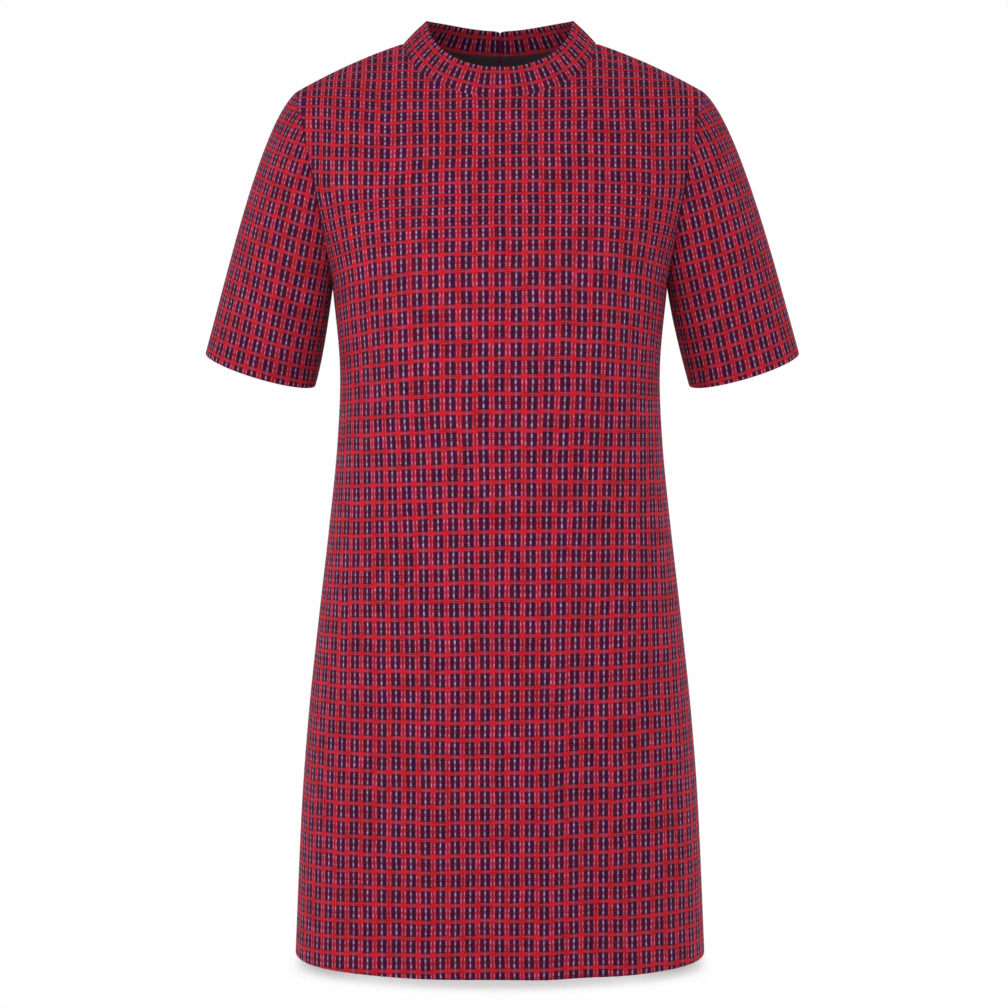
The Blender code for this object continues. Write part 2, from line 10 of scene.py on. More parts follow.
# %% Load the fixed frame
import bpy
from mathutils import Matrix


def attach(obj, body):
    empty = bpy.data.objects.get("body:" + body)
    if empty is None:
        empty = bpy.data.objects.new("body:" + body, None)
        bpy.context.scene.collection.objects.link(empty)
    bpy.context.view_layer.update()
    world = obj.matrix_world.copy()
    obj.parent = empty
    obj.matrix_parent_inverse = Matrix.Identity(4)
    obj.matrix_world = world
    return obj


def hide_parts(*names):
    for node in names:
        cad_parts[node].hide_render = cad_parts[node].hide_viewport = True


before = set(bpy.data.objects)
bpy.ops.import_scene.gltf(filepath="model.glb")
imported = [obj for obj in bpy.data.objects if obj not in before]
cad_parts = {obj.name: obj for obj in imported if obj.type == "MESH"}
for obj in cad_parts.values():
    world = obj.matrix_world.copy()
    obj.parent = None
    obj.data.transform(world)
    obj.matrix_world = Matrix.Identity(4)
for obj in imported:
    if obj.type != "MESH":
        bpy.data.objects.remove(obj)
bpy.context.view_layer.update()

# %% [markdown]
# ## A small language for materials
#
# A material in Blender is a graph of nodes. Built by hand it takes four lines a
# node, so the maths of a weave would fill pages. Instead, `Wire` stands for one
# socket and turns Python's own operators into Math nodes, and `Finish.node`
# makes any other node from its type, its settings and its inputs.

# %% The socket wrapper
import math
from functools import lru_cache, partial, partialmethod

import bmesh
import bpy
from mathutils import Matrix, Vector


class Wire:
    """One output of a node tree; sums and products of it add Math nodes."""

    def __init__(self, finish, socket):
        self.finish, self.socket = finish, socket

    def maths(self, operation, *others, swap=False):
        terms = (self, *others)[::-1 if swap else 1]
        return self.finish.node("ShaderNodeMath", {"operation": operation}, dict(enumerate(terms)))

    __add__ = __radd__ = partialmethod(maths, "ADD")
    __sub__ = partialmethod(maths, "SUBTRACT")
    __rsub__ = partialmethod(maths, "SUBTRACT", swap=True)
    __mul__ = partialmethod(maths, "MULTIPLY")
    __truediv__ = partialmethod(maths, "DIVIDE")
    __abs__ = partialmethod(maths, "ABSOLUTE")
    floor = partialmethod(maths, "FLOOR")
    part = partialmethod(maths, "FRACT")

    def waves(self, count):
        """That many waves, between 0 and 1, to each unit."""
        return (self * (2 * math.pi * count)).maths("SINE") * 0.5 + 0.5

    def step(self, near, far, before, after):
        """A soft step from one value, up to near, to another, from far on."""
        return self.finish.node("ShaderNodeMapRange", {"interpolation_type": "SMOOTHSTEP"},
                                {"Value": self, 1: near, 2: far, 3: before, 4: after})

    fall = partialmethod(step, before=1.0, after=0.0)
    rise = partialmethod(step, before=0.0, after=1.0)


class Graph:
    """A node tree, and the nodes that are added to it most."""

    def __init__(self, tree):
        self.tree = tree

    def node(self, kind, settings=None, sockets=None, out=0):
        made = self.tree.nodes.new(kind)
        for setting, value in (settings or {}).items():
            setattr(made, setting, value)
        for socket, value in (sockets or {}).items():
            if isinstance(value, Wire):
                self.tree.links.new(value.socket, made.inputs[socket])
            else:
                made.inputs[socket].default_value = value
        return Wire(self, made.outputs[out])

    def lay(self, under, *coats):
        """Lays each coat, a colour with its mask, over the colour `under`."""
        for over, mask in coats:
            under = self.node("ShaderNodeMix", {"data_type": "RGBA"},
                              {0: mask, 6: under, 7: over}, out=2)
        return under

    def spot(self):
        """The place on the object, in metres."""
        return self.node("ShaderNodeTexCoord", out="Object")

    def noise(self, at, scale, detail=2.0):
        """Soft noise about 0.5."""
        return self.node("ShaderNodeTexNoise",
                         sockets={"Vector": at, "Scale": scale, "Detail": detail})

    def bump(self, strength, distance, height):
        return self.node("ShaderNodeBump", sockets={
            "Strength": strength, "Distance": distance, "Height": height})

    def vector(self, x, y, z=0.0):
        return self.node("ShaderNodeCombineXYZ", sockets={0: x, 1: y, 2: z})

    def parts(self, vector):
        """The three numbers of a vector."""
        split = self.node("ShaderNodeSeparateXYZ", sockets={0: vector})
        return [Wire(self, output) for output in split.socket.node.outputs]


class Finish(Graph):
    """A material with its Principled shader."""

    def __init__(self, name, **constants):
        self.material = bpy.data.materials.new(name)
        self.material.use_nodes = True
        super().__init__(self.material.node_tree)
        self.shader = self.tree.nodes["Principled BSDF"]
        for socket, value in constants.items():
            self.shader.inputs[socket.replace("_", " ")].default_value = value

    def feed(self, **wires):
        for socket, wire in wires.items():
            self.tree.links.new(wire.socket, self.shader.inputs[socket.replace("_", " ")])
        return self.material


def ink(red, green, blue):
    """A colour as seen on screen (0 to 255), in the linear values of nodes."""
    def linear(value):
        value = value / 255
        return value / 12.92 if value <= 0.04045 else ((value + 0.055) / 1.055) ** 2.4
    return (linear(red), linear(green), linear(blue), 1.0)


print("ink(128, 128, 128) is", round(ink(128, 128, 128)[0], 3), "in linear light")

# %% [markdown]
# ## The view
#
# A camera far away with a long lens shows a dress with little perspective. It
# stands a little below the shoulders and looks slightly down, so the hem shows
# as a shallow curve. Nearer, with a wide lens, it would bend the sides; an
# orthographic camera would make the hem a straight line. White paper fills the
# view behind it. Two soft lamps at chest height, the stronger near the camera
# and the weaker further left, model the folds, and the room's light fills in
# the rest. Even light all round would show no form.

# %% Camera
def aimed(name, data, place, target):
    """Puts a camera or a lamp in its place and turns it to its target."""
    made = bpy.data.objects.new(name, data)
    made.location = place
    made.rotation_euler = (target - Vector(place)).to_track_quat("-Z", "Y").to_euler()
    bpy.context.collection.objects.link(made)
    return made


CAMERA_AT = Vector((0.0038, -3.1, -0.230))
CAMERA_AIM = Vector((0.0038, 0.0, -0.430))
LENS = 118.03             # millimetres, on a sensor 36 mm wide

lens = bpy.data.cameras.new("camera")
lens.lens, lens.sensor_width, lens.clip_end = LENS, 36.0, 60.0
bpy.context.scene.camera = aimed("camera", lens, CAMERA_AT, CAMERA_AIM)
bpy.context.scene.view_settings.view_transform = "Standard"
look = CAMERA_AIM - CAMERA_AT
print("camera looks down by", round(math.degrees(math.atan2(-look.z, look.y)), 2), "degrees")

# %% Lights
ROOM_SEEN = 0.99          # the white paper behind the dress
ROOM_LIGHT = 0.92         # light from the front wall
BACK_BRIGHTER, SIDES_BRIGHTER, CEILING_DARKER = 0.36, 0.20, 0.16
LAMPS_AIM = Vector((0, 0, -0.4))
LAMPS = (
    # name, place, width and height, watts
    ("key", (-0.20, -1.10, -0.12), (0.7, 0.7), 4.1),
    ("left", (-0.80, -1.05, -0.08), (0.6, 0.6), 1.4),
)

room = bpy.data.worlds.new("room")
room.use_nodes = True
sky = Graph(room.node_tree)
right, back, up = sky.parts(sky.node("ShaderNodeTexCoord", out="Generated"))
glow = (back * BACK_BRIGHTER + abs(right) * SIDES_BRIGHTER
        - up.rise(-0.1, 0.8) * CEILING_DARKER + ROOM_LIGHT)
seen = sky.node("ShaderNodeLightPath", out="Is Camera Ray")
glow = glow + seen * (ROOM_SEEN - glow)
paper = sky.tree.nodes["Background"]
paper.inputs["Color"].default_value = (1, 1, 1, 1)
sky.tree.links.new(glow.socket, paper.inputs["Strength"])
bpy.context.scene.world = room
for name, place, (width, height), watts in LAMPS:
    lamp = bpy.data.lights.new(name, "AREA")
    lamp.shape, lamp.size, lamp.size_y, lamp.energy = "RECTANGLE", width, height, watts
    aimed(name, lamp, place, LAMPS_AIM)
print("lamps:", [row[0] for row in LAMPS])

# %% [markdown]
# ## The floor
#
# The dress hangs just above a pale floor, which shows only by the soft shadow
# under the hem. A plain disc would end in a visible edge far behind, so its
# material turns see-through away from the oval of the hem, and the white room
# takes over. It shows more under the sides, where the hem shades it least.

# %% Floor
def object_from(bm, name, body=None):
    """Turns a bmesh into an object of the scene, smooth if it rides a body."""
    mesh = bpy.data.meshes.new(name)
    bm.to_mesh(mesh)
    bm.free()
    made = bpy.data.objects.new(name, mesh)
    bpy.context.collection.objects.link(made)
    if body:
        mesh.shade_smooth()
        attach(made, body)
    return made


FLOOR = -0.8620           # height: a little under the hem
FLOOR_RADIUS = 0.6
FLOOR_SHOWS = 0.39        # the rest is the white room seen through it
SIDES_SHOW = 0.56         # more of it shows under the sides of the hem
HEM_OVAL = (0.196, 0.150) # half sizes of the oval under the hem

pale = Finish("pale_floor", Roughness=0.9)
spot = pale.spot()
x, y, _ = pale.parts(spot)
x, y = x / HEM_OVAL[0], y / HEM_OVAL[1]
distance = (x * x + y * y).maths("SQRT")
pale.feed(Base_Color=pale.lay(ink(253, 253, 253), (ink(250, 250, 250), pale.noise(spot, 3.0))))
clear = pale.node("ShaderNodeBsdfTransparent")
body = Wire(pale, pale.shader.outputs[0])
under = distance.fall(0.73, 1.18) * abs(x).fall(0.94, 1.03)
share = under * (abs(x).rise(0.58, 0.97) * SIDES_SHOW + FLOOR_SHOWS)
shown = pale.node("ShaderNodeMixShader", sockets={0: share, 1: clear, 2: body})
pale.tree.links.new(shown.socket, pale.tree.nodes["Material Output"].inputs["Surface"])

bm = bmesh.new()
bmesh.ops.create_circle(bm, cap_ends=True, radius=FLOOR_RADIUS, segments=96,
                        matrix=Matrix.Translation((0, 0, FLOOR)))
floor = object_from(bm, "floor")
floor.data.materials.append(pale.material)

# %% [markdown]
# ## The body's form
#
# The dress is worn, so its cloth follows a body: broad at the shoulders, round
# at the bust, nearly straight down the sides and a little wider at the hem. The
# form is given by a few named sizes and short tables, with smooth curves between
# their rows. These are the same sizes as the fixed model's, which keeps the
# cloth on it. Modelling by pulling at vertices would lose that fit.

# %% Sizes of the form
HEM = -0.8515             # height of the skirt's lower edge
UNDERARM = Vector((0.1565, 0.0, -0.2245))
SHOULDER_TIP = Vector((0.190, 0.0, -0.045))
NECK_SIDE = 0.090         # half width of the neck seam
# In sizes for each half, -1 is the front and 1 the back.
NECK_CENTRE = {-1: Vector((0.0, -0.077, -0.054)), 1: Vector((0.0, 0.052, -0.0175))}
NECK_DIP = {-1: 1.2, 1: 1.6}              # exponent of its fall towards the centre
NECK_SPRING = 0.020       # how strongly the panels sweep in to the neck's sides,
NECK_SWEEP = 0.6          # and the share of the shoulder where that ends
NECK_RISE = {-1: 0.52, 1: 0.20}           # how steeply they arrive there
ARMHOLE_REACH = {-1: 0.057, 1: 0.062}     # how far it bows to front and back
ARMHOLE_INSET = 0.003     # it curves in by this much at its middle
NECK_SHARE = 0.5          # share of a panel's top edge that is the neck's
YOKE_FROM = 1.5           # above this level the columns run on as the yoke
SIDE_LINE = (
    # height, half_width
    (-0.8515, 0.1932), (-0.710, 0.1865), (-0.617, 0.1791), (-0.523, 0.1687),
    (-0.447, 0.1598), (-0.372, 0.1523), (-0.300, 0.1497), (-0.2245, 0.1565),
)
CENTRE_LINES = (
    # height, front_depth, back_depth
    (-0.8515, 0.149, 0.135), (-0.700, 0.147, 0.134), (-0.600, 0.145, 0.130),
    (-0.500, 0.143, 0.121), (-0.400, 0.144, 0.112), (-0.310, 0.1485, 0.112),
    (-0.265, 0.1515, 0.115), (-0.2245, 0.1515, 0.1175), (-0.170, 0.1440, 0.1170),
    (-0.120, 0.1240, 0.109), (-0.070, 0.0900, 0.089), (-0.054, 0.077, 0.0795),
    (-0.0175, 0.058, 0.052),
)
SQUARENESS = {"chest": 2.3, "hem": 2.5}   # exponent of the oval sections


def mix(a, b, t):
    return a + (b - a) * t


def smooth(t):
    t = min(max(t, 0.0), 1.0)
    return t * t * (3 - 2 * t)


def hermite(start, end, leave, arrive, t):
    """Cubic curve from start to end with the two end tangents."""
    t2, t3 = t * t, t * t * t
    return (start * (2 * t3 - 3 * t2 + 1) + leave * (t3 - 2 * t2 + t)
            + end * (3 * t2 - 2 * t3) + arrive * (t3 - t2))


def table_value(table, column, height):
    """Smooth curve through one column of a table that is sorted by height."""
    rows = [(row[0], row[column]) for row in table]
    height = min(max(height, rows[0][0]), rows[-1][0])
    upper = next(i for i in range(1, len(rows)) if rows[i][0] >= height)
    (h0, y0), (h1, y1) = rows[upper - 1], rows[upper]

    def slope(i):
        low, high = max(i - 1, 0), min(i + 1, len(rows) - 1)
        return (rows[high][1] - rows[low][1]) / (rows[high][0] - rows[low][0])

    return hermite(y0, y1, slope(upper - 1) * (h1 - h0), slope(upper) * (h1 - h0),
                   (height - h0) / (h1 - h0))


print("hip half width at -0.6:", round(table_value(SIDE_LINE, 1, -0.6), 4))

# %% Seam lines
def armhole(half, v):
    """Point of the right armhole; v is 1 under the arm and 2 at the shoulder."""
    angle = math.pi * (v - 1.5)
    middle = (UNDERARM + SHOULDER_TIP) / 2
    point = middle + (SHOULDER_TIP - middle) * math.sin(angle)
    point.x -= ARMHOLE_INSET * math.cos(angle)
    point.y = half * ARMHOLE_REACH[half] * math.cos(angle)
    return point


def neck_seam(half, share):
    """Point of the neck seam; share is 0 at the centre and 1 at the side."""
    angle = math.pi / 2 * (1 - share)
    centre = NECK_CENTRE[half]
    return Vector((NECK_SIDE * math.cos(angle), centre.y * math.sin(angle),
                   centre.z * math.sin(angle) ** NECK_DIP[half]))


def shoulder_seam(share):
    """Point of the shoulder seam, from the collar (0) to the tip (1)."""
    fall = 0.73 * share + 0.27 * share * share
    return Vector((mix(NECK_SIDE, SHOULDER_TIP.x, share), 0, SHOULDER_TIP.z * fall))


def top_edge(half, u):
    share = abs(u)
    if share <= NECK_SHARE:
        return neck_seam(half, share / NECK_SHARE)
    return shoulder_seam((share - NECK_SHARE) / (1 - NECK_SHARE))


print("shoulder seam:", round((shoulder_seam(1) - shoulder_seam(0)).length * 1000), "mm")

# %% Levels of the body
SAMPLES = 96              # points that a level is measured on


def centre_depth(half, height):
    return table_value(CENTRE_LINES, 1 if half < 0 else 2, height)


def squareness(height):
    return mix(SQUARENESS["hem"], SQUARENESS["chest"], smooth((height - HEM) / (UNDERARM.z - HEM)))


def half_width(half, height):
    """Half width of the oval; above the underarm the armhole lies on it."""
    if height <= UNDERARM.z:
        return table_value(SIDE_LINE, 1, height)
    middle, reach = (UNDERARM.z + SHOULDER_TIP.z) / 2, (SHOULDER_TIP.z - UNDERARM.z) / 2
    edge = armhole(half, 1.5 + math.asin(min((height - middle) / reach, 1)) / math.pi)
    square, depth = squareness(height), centre_depth(half, height)
    return edge.x / (1 - (abs(edge.y) / depth) ** square) ** (1 / square)


@lru_cache(maxsize=None)
def section(half, v):
    """Points of a level from the centre to the edge, and the lengths up to them."""
    if v <= 1:
        height = mix(HEM, UNDERARM.z, v)
        edge = Vector((half_width(half, height), 0, height))
    else:
        height = mix(UNDERARM.z, NECK_CENTRE[half].z, v - 1)
        edge = armhole(half, v)
    last = math.asin(min(1.0, (edge.x / half_width(half, edge.z)) ** (squareness(edge.z) / 2)))
    points, lengths = [], [0.0]
    for i in range(SAMPLES + 1):
        share = i / SAMPLES
        z = mix(height, edge.z, smooth(share))
        power = 2 / squareness(z)
        x = half_width(half, z) * math.sin(last * share) ** power
        y = half * centre_depth(half, z) * max(math.cos(last * share), 0.0) ** power
        points.append(Vector((x, y, z)))
        if i:
            lengths.append(lengths[-1] + (points[i] - points[i - 1]).length)
    return points, lengths


def section_point(half, u, v):
    points, lengths = section(half, v)
    target = abs(u) * lengths[-1]
    i = next((i for i in range(1, SAMPLES) if lengths[i] >= target), SAMPLES)
    t = (target - lengths[i - 1]) / (lengths[i] - lengths[i - 1])
    return points[i - 1].lerp(points[i], t)


girth = {name: 2 * (section(-1, v)[1][-1] + section(1, v)[1][-1])
         for name, v in (("bust", 1), ("hem", 0))}
print("round the body, in metres:", {name: round(value, 3) for name, value in girth.items()})

# %% [markdown]
# ## Soft folds
#
# Firm jacquard hardly creases. It breaks into a few long soft folds: below each
# armpit where the chest's fullness runs out, on the skirt where the cloth swings
# free, and small ones round the armholes. A cloth simulation would need a body
# to fall on and would give folds somewhere else at each change, so each fold is
# placed as a long soft trough or ridge, no two of them alike.

# %% The folds
FOLDS = {
    # x, height, lean (degrees from upright), length, width, depth
    -1: (
        (0.127, -0.300, 15, 0.175, 0.030, -0.0052), (-0.126, -0.295, -15, 0.185, 0.031, -0.0056),
        (0.101, -0.250, 12, 0.150, 0.038, 0.0026), (-0.099, -0.262, -13, 0.160, 0.040, 0.0030),
        (0.152, -0.205, 24, 0.080, 0.016, -0.0022), (-0.150, -0.200, -26, 0.090, 0.017, -0.0026),
        (0.146, -0.150, 8, 0.090, 0.020, 0.0014), (-0.145, -0.145, -9, 0.080, 0.018, 0.0016),
        (0.038, -0.690, 1, 0.520, 0.044, 0.0046), (0.074, -0.720, 2, 0.500, 0.046, -0.0054),
        (-0.060, -0.790, -3, 0.260, 0.060, 0.0020), (-0.118, -0.740, -5, 0.330, 0.055, -0.0026),
        (0.140, -0.770, 6, 0.280, 0.050, -0.0022), (-0.030, -0.470, -6, 0.150, 0.050, -0.0010),
        (0.100, -0.440, 14, 0.140, 0.040, -0.0014),
    ),
    1: (
        (0.121, -0.285, 18, 0.165, 0.034, -0.0048), (-0.118, -0.292, -17, 0.150, 0.033, -0.0044),
        (0.072, -0.400, 10, 0.210, 0.058, -0.0032), (-0.068, -0.412, -9, 0.190, 0.056, -0.0028),
        (0.151, -0.200, 22, 0.080, 0.017, -0.0020), (-0.150, -0.205, -20, 0.090, 0.018, -0.0024),
        (0.050, -0.770, 3, 0.310, 0.060, 0.0030), (-0.056, -0.790, -4, 0.270, 0.062, 0.0026),
        (0.127, -0.740, 6, 0.300, 0.055, -0.0030), (-0.122, -0.755, -6, 0.280, 0.050, -0.0026),
    ),
}
FOLDS_TO, TOP_FADE = 1.95, 0.2            # the folds end at this level, over this range,
SIDE_FADE = 0.10          # and over this share of the width at the sides


def fold_depth(half, point):
    """How far the folds push the cloth out (or in) at a point of the body."""
    total = 0.0
    for x, height, lean, length, width, depth in FOLDS[half]:
        if abs(point.z - height) > 1.4 * length:
            continue
        tilt = math.radians(lean)
        dx, dz = point.x - x, point.z - height
        along = (dz * math.cos(tilt) - dx * math.sin(tilt)) / (length / 2)
        across = (dx * math.cos(tilt) + dz * math.sin(tilt)) / (width / 2)
        total += depth * math.exp(-along * along - across * across)
    return total


# How the columns arrive on top: in depth at the centre, the neck's side and the
# shoulder's tip, and upwards at the centre and the tip.
YOKE_DEEP, YOKE_CLIMB = (1.1, 1.35, 1.5), (1.0, 0.12)


def yoke(half, u, v):
    """Each column runs on from the chest to the shoulder or the neck."""
    start = section_point(half, u, YOKE_FROM)
    step = 0.02
    leave = (start - section_point(half, u, YOKE_FROM - step)) / step * 0.5
    end = top_edge(half, u)
    run = end - start
    beside_neck = smooth(abs(u) / NECK_SHARE)
    out_along = max(abs(u) - NECK_SHARE, 0) / (1 - NECK_SHARE)
    level = mix(mix(*YOKE_DEEP[:2], beside_neck), YOKE_DEEP[2], out_along)
    rise = mix(mix(YOKE_CLIMB[0], NECK_RISE[half], beside_neck), YOKE_CLIMB[1], smooth(out_along))
    sweep = -NECK_SPRING * beside_neck * (1 - smooth(out_along / NECK_SWEEP))
    arrive = Vector((sweep, run.y * level, run.z * rise))
    return hermite(start, end, leave, arrive, (v - YOKE_FROM) / (2 - YOKE_FROM))


@lru_cache(maxsize=None)
def torso(half, u, v):
    """Outer face of the front (half -1) or the back (half 1); u runs from -1 to 1."""
    if v <= YOKE_FROM:
        point = section_point(half, u, v)
    else:
        towards_edge = smooth((abs(u) - 0.5) / 0.5)
        point = yoke(half, u, v) + (armhole(half, v) - yoke(half, 1, v)) * towards_edge
    if u < 0:
        point.x = -point.x
    if v < FOLDS_TO and abs(u) < 0.999:
        fade = smooth((1 - abs(u)) / SIDE_FADE) * smooth((FOLDS_TO - v) / TOP_FADE)
        point.y += half * fold_depth(half, point) * fade
    return point


depths = [abs(row[-1]) * 1000 for half in FOLDS for row in FOLDS[half]]
print("folds:", len(depths), "deepest:", round(max(depths), 1), "mm")

# %% Sleeve and collar
SLEEVE_HEM_OUTER = Vector((0.2795, 0.015, -0.2885))
SLEEVE_HEM_INNER = Vector((0.1760, 0.015, -0.3195))
SLEEVE_HEM_HALF_DEPTH = 0.052
SLEEVE_HEM_TILT = math.radians(8)         # its front edge is the lower one
SLEEVE_SWAY = 0.0022      # both hang this much towards +X
# How the sleeve leaves the armhole, and how it falls at its hem, both as shares
# of its length.
SLEEVE_LEAVES = {"top": (0.37, 0, -0.31), "middle": (0.60, 0.13, -0.47),
                 "underarm": (0.11, 0, -0.89)}
SLEEVE_FALL = Vector((0.265, 0.03, -0.93))
COLLAR_SIDE = Vector((0.0677, -0.003, 0.0214))
COLLAR_CENTRE = {-1: Vector((0.0, -0.0590, -0.0255)), 1: Vector((0.0, 0.046, 0.015))}
COLLAR_DIP = {-1: 1, 1: 4}                # exponent of its top edge's fall to the centre
COLLAR_BULGE = 0.0008


def sleeve_hem(a):
    """Point of the right sleeve's hem; a is 0 outside and +-1 inside."""
    centre = (SLEEVE_HEM_OUTER + SLEEVE_HEM_INNER) / 2
    across = (SLEEVE_HEM_OUTER - SLEEVE_HEM_INNER) / 2
    forward = Vector((0, -math.cos(SLEEVE_HEM_TILT), -math.sin(SLEEVE_HEM_TILT)))
    angle = math.pi * a
    return centre + across * math.cos(angle) + forward * SLEEVE_HEM_HALF_DEPTH * math.sin(angle)


def sleeve(side, a, t):
    """Outer face of a sleeve; a goes round it (front positive), t down it."""
    half = -1 if a >= 0 else 1
    start = armhole(half, 2 - abs(a))
    end = sleeve_hem(a) + Vector((side * SLEEVE_SWAY, 0, 0))
    chord = (end - start).length
    top = math.cos(math.pi * a)
    leave = Vector(SLEEVE_LEAVES["middle"])
    leave.y *= half
    leave = leave.lerp(Vector(SLEEVE_LEAVES["top" if top > 0 else "underarm"]), abs(top))
    point = hermite(start, end, leave * chord, SLEEVE_FALL * chord, t)
    point.x *= side
    return point


def collar(a, w):
    """Outer face of the collar; a is 0 at the front and +-1 at the back."""
    share = abs(a) * 2
    half = -1 if share <= 1 else 1
    share = min(share, 2 - share)
    base = neck_seam(half, share)
    angle = math.pi / 2 * (1 - share)
    centre = COLLAR_CENTRE[half]
    top = Vector((COLLAR_SIDE.x * math.cos(angle),
                  centre.y * math.sin(angle) + COLLAR_SIDE.y * math.cos(angle),
                  mix(COLLAR_SIDE.z, centre.z, math.sin(angle) ** COLLAR_DIP[half])))
    point = base.lerp(top, w)
    away = Vector((point.x, point.y, 0)).normalized()
    point += away * COLLAR_BULGE * math.sin(math.pi * w)
    if a < 0:
        point.x = -point.x
    return point


print("collar height at the front:", round((collar(0, 1) - collar(0, 0)).length * 1000, 1), "mm")

# %% [markdown]
# ## Sewing a sheet
#
# A maker cuts each piece flat, turns its edges in and sews them. So every piece
# here is one flat grid, made by one operator, whose columns and rows are listed
# with how far they lie in from the edge and how deep inside. Past the edge the
# list goes round a small roll and back on the inside: that is the seam allowance
# or the hem, in the same sheet. Subdivision smooths the grid, and Solidify gives
# it the thickness of one layer of cloth.

# %% The sheet maker
LAYER = 0.0009            # one layer of the jacquard
ROLL = 0.00095            # half the height of a turned edge
ROLL_WIDTH = 0.0004       # how far in from the seam the roll begins
LAP = 0.0002              # sewn edges press this far past the seam line
TURNED_SEAM = 0.010       # seam allowance, pressed open
TURNED_HEM = 0.028        # the skirt's hem
STEP = 1e-3               # in u and v, to measure directions and insets by


def turned(edge, width, lap=LAP):
    """Lines of an edge, with inset and depth, from the raw edge inside round the roll."""
    lines = [(edge, mix(ROLL_WIDTH, width, share), 2 * ROLL) for share in (1.0, 0.5)]
    for degrees in (180, 145, 110, 70, 35, 0):
        angle = math.radians(degrees)
        lines.append((edge, ROLL_WIDTH - (ROLL_WIDTH + lap) * math.sin(angle),
                      ROLL * (1 - math.cos(angle))))
    return lines


def outward(surface, u, v, low, high):
    """Direction away from the body, by small steps that stay on the surface."""
    u, v = min(max(u, low[0]), high[0]), min(max(v, low[1]), high[1])
    u0, u1 = max(u - STEP, low[0]), min(u + STEP, high[0])
    v0, v1 = max(v - STEP, low[1]), min(v + STEP, high[1])
    across = surface(u1, v) - surface(u0, v)
    along = surface(u, v1) - surface(u, v0)
    return across.cross(along).normalized()


def moved_in(surface, u, v, du, dv, inset):
    """The u and v that lie this many metres further along du, dv."""
    share = inset * STEP / (surface(u + du * STEP, v + dv * STEP) - surface(u, v)).length
    return u + du * share, v + dv * share


def sheet_object(name, columns, rows, place, closed=False):
    """A flat grid whose points `place` carries to the body and to the flat cloth."""
    bm = bmesh.new()
    bmesh.ops.create_grid(bm, x_segments=len(columns) - 1, y_segments=len(rows) - 1, size=0.5)
    cloth = bm.loops.layers.uv.new("cloth")
    spots = {}
    for vert in bm.verts:
        column = columns[round((vert.co.x + 0.5) * (len(columns) - 1))]
        row = rows[round((vert.co.y + 0.5) * (len(rows) - 1))]
        vert.co, spots[vert] = place(column, row)
    for face in bm.faces:
        for loop in face.loops:
            loop[cloth].uv = spots[loop.vert]
    if closed:
        bmesh.ops.remove_doubles(bm, verts=bm.verts, dist=1e-5)
    made = object_from(bm, name, "garment")
    made.modifiers.new("smooth", "SUBSURF").levels = 1
    made.modifiers["smooth"].render_levels = 1
    wall = made.modifiers.new("layer", "SOLIDIFY")
    wall.thickness, wall.offset, wall.material_offset = LAYER, -1.0, 1
    return made


print("a turned edge has", len(turned(0.0, TURNED_SEAM)), "lines")

# %% [markdown]
# ## Where the check lies on the cloth
#
# Each piece carries a UV map called `cloth` that counts repeats: whole numbers
# of U are the middles of the crimson stripes and whole numbers of V the crimson
# rows. On the body U follows the length round each level and V the height, and
# the rows sink a little towards the sides, as they do on any flared panel.

ROW_HEIGHTS = (
    # height at the centre, row number counted down from the neck
    (-0.8515, 55.62), (-0.7530, 49.0), (-0.6632, 43.0), (-0.5715, 37.0), (-0.4760, 31.0),
    (-0.3857, 25.0), (-0.3060, 20.0), (-0.2279, 15.0), (-0.1831, 12.0), (-0.1338, 7.0),
)
SINK_AT = 0.15            # from the centre
ROW_SINKS = (
    # height, steady sink and late sink there
    (-0.8515, 0.0045, 0.0010), (-0.700, -0.0010, 0.0020), (-0.600, -0.0015, 0.0020),
    (-0.500, 0.0050, 0.0010), (-0.360, 0.0060, 0.0020), (-0.280, 0.0030, 0.0120),
    (-0.220, 0.0020, 0.0130), (-0.140, 0.0030, 0.0020),
)
ROW_SLANT = 0.017         # the rows lie a hair off level
TOP_ROW = 0.0134          # row spacing along the upper chest
BACK_ROW = (-0.2279, 15.0, 0.0142)        # from this height and row on, the spacing up the back
STRIPES = (
    # height, spacing of the stripes
    (-0.8515, 0.0133), (-0.600, 0.0134), (-0.500, 0.0137), (-0.410, 0.0141),
    (-0.350, 0.0145), (-0.250, 0.0149), (-0.1, 0.0149),
)
SIDE_EASE = 0.13          # the stripes are this much wider apart at the side,
SIDE_AT = 0.26            # this far round from the centre
CLIMB_STEPS = 12          # that a column's length up the yoke is measured in


def row_at(half, point):
    reach = abs(point.x) / SINK_AT
    sink = (table_value(ROW_SINKS, 1, point.z) * reach ** 2
            + table_value(ROW_SINKS, 2, point.z) * reach ** 4)
    height = point.z + sink - ROW_SLANT * point.x
    if half > 0 and height > BACK_ROW[0]:
        return BACK_ROW[1] - (height - BACK_ROW[0]) / BACK_ROW[2]
    return table_value(ROW_HEIGHTS, 1, height)


def round_length(half, u, v, point):
    """Length of cloth from the centre to a point of a panel."""
    if v <= YOKE_FROM:
        return abs(u) * section(half, v)[1][-1]
    points, lengths = section(half, YOKE_FROM)
    x = abs(point.x)
    if x >= points[-1].x:
        return lengths[-1] + (x - points[-1].x) * 1.1
    i = next(i for i in range(1, len(points)) if points[i].x >= x)
    t = (x - points[i - 1].x) / (points[i].x - points[i - 1].x)
    return mix(lengths[i - 1], lengths[i], t)


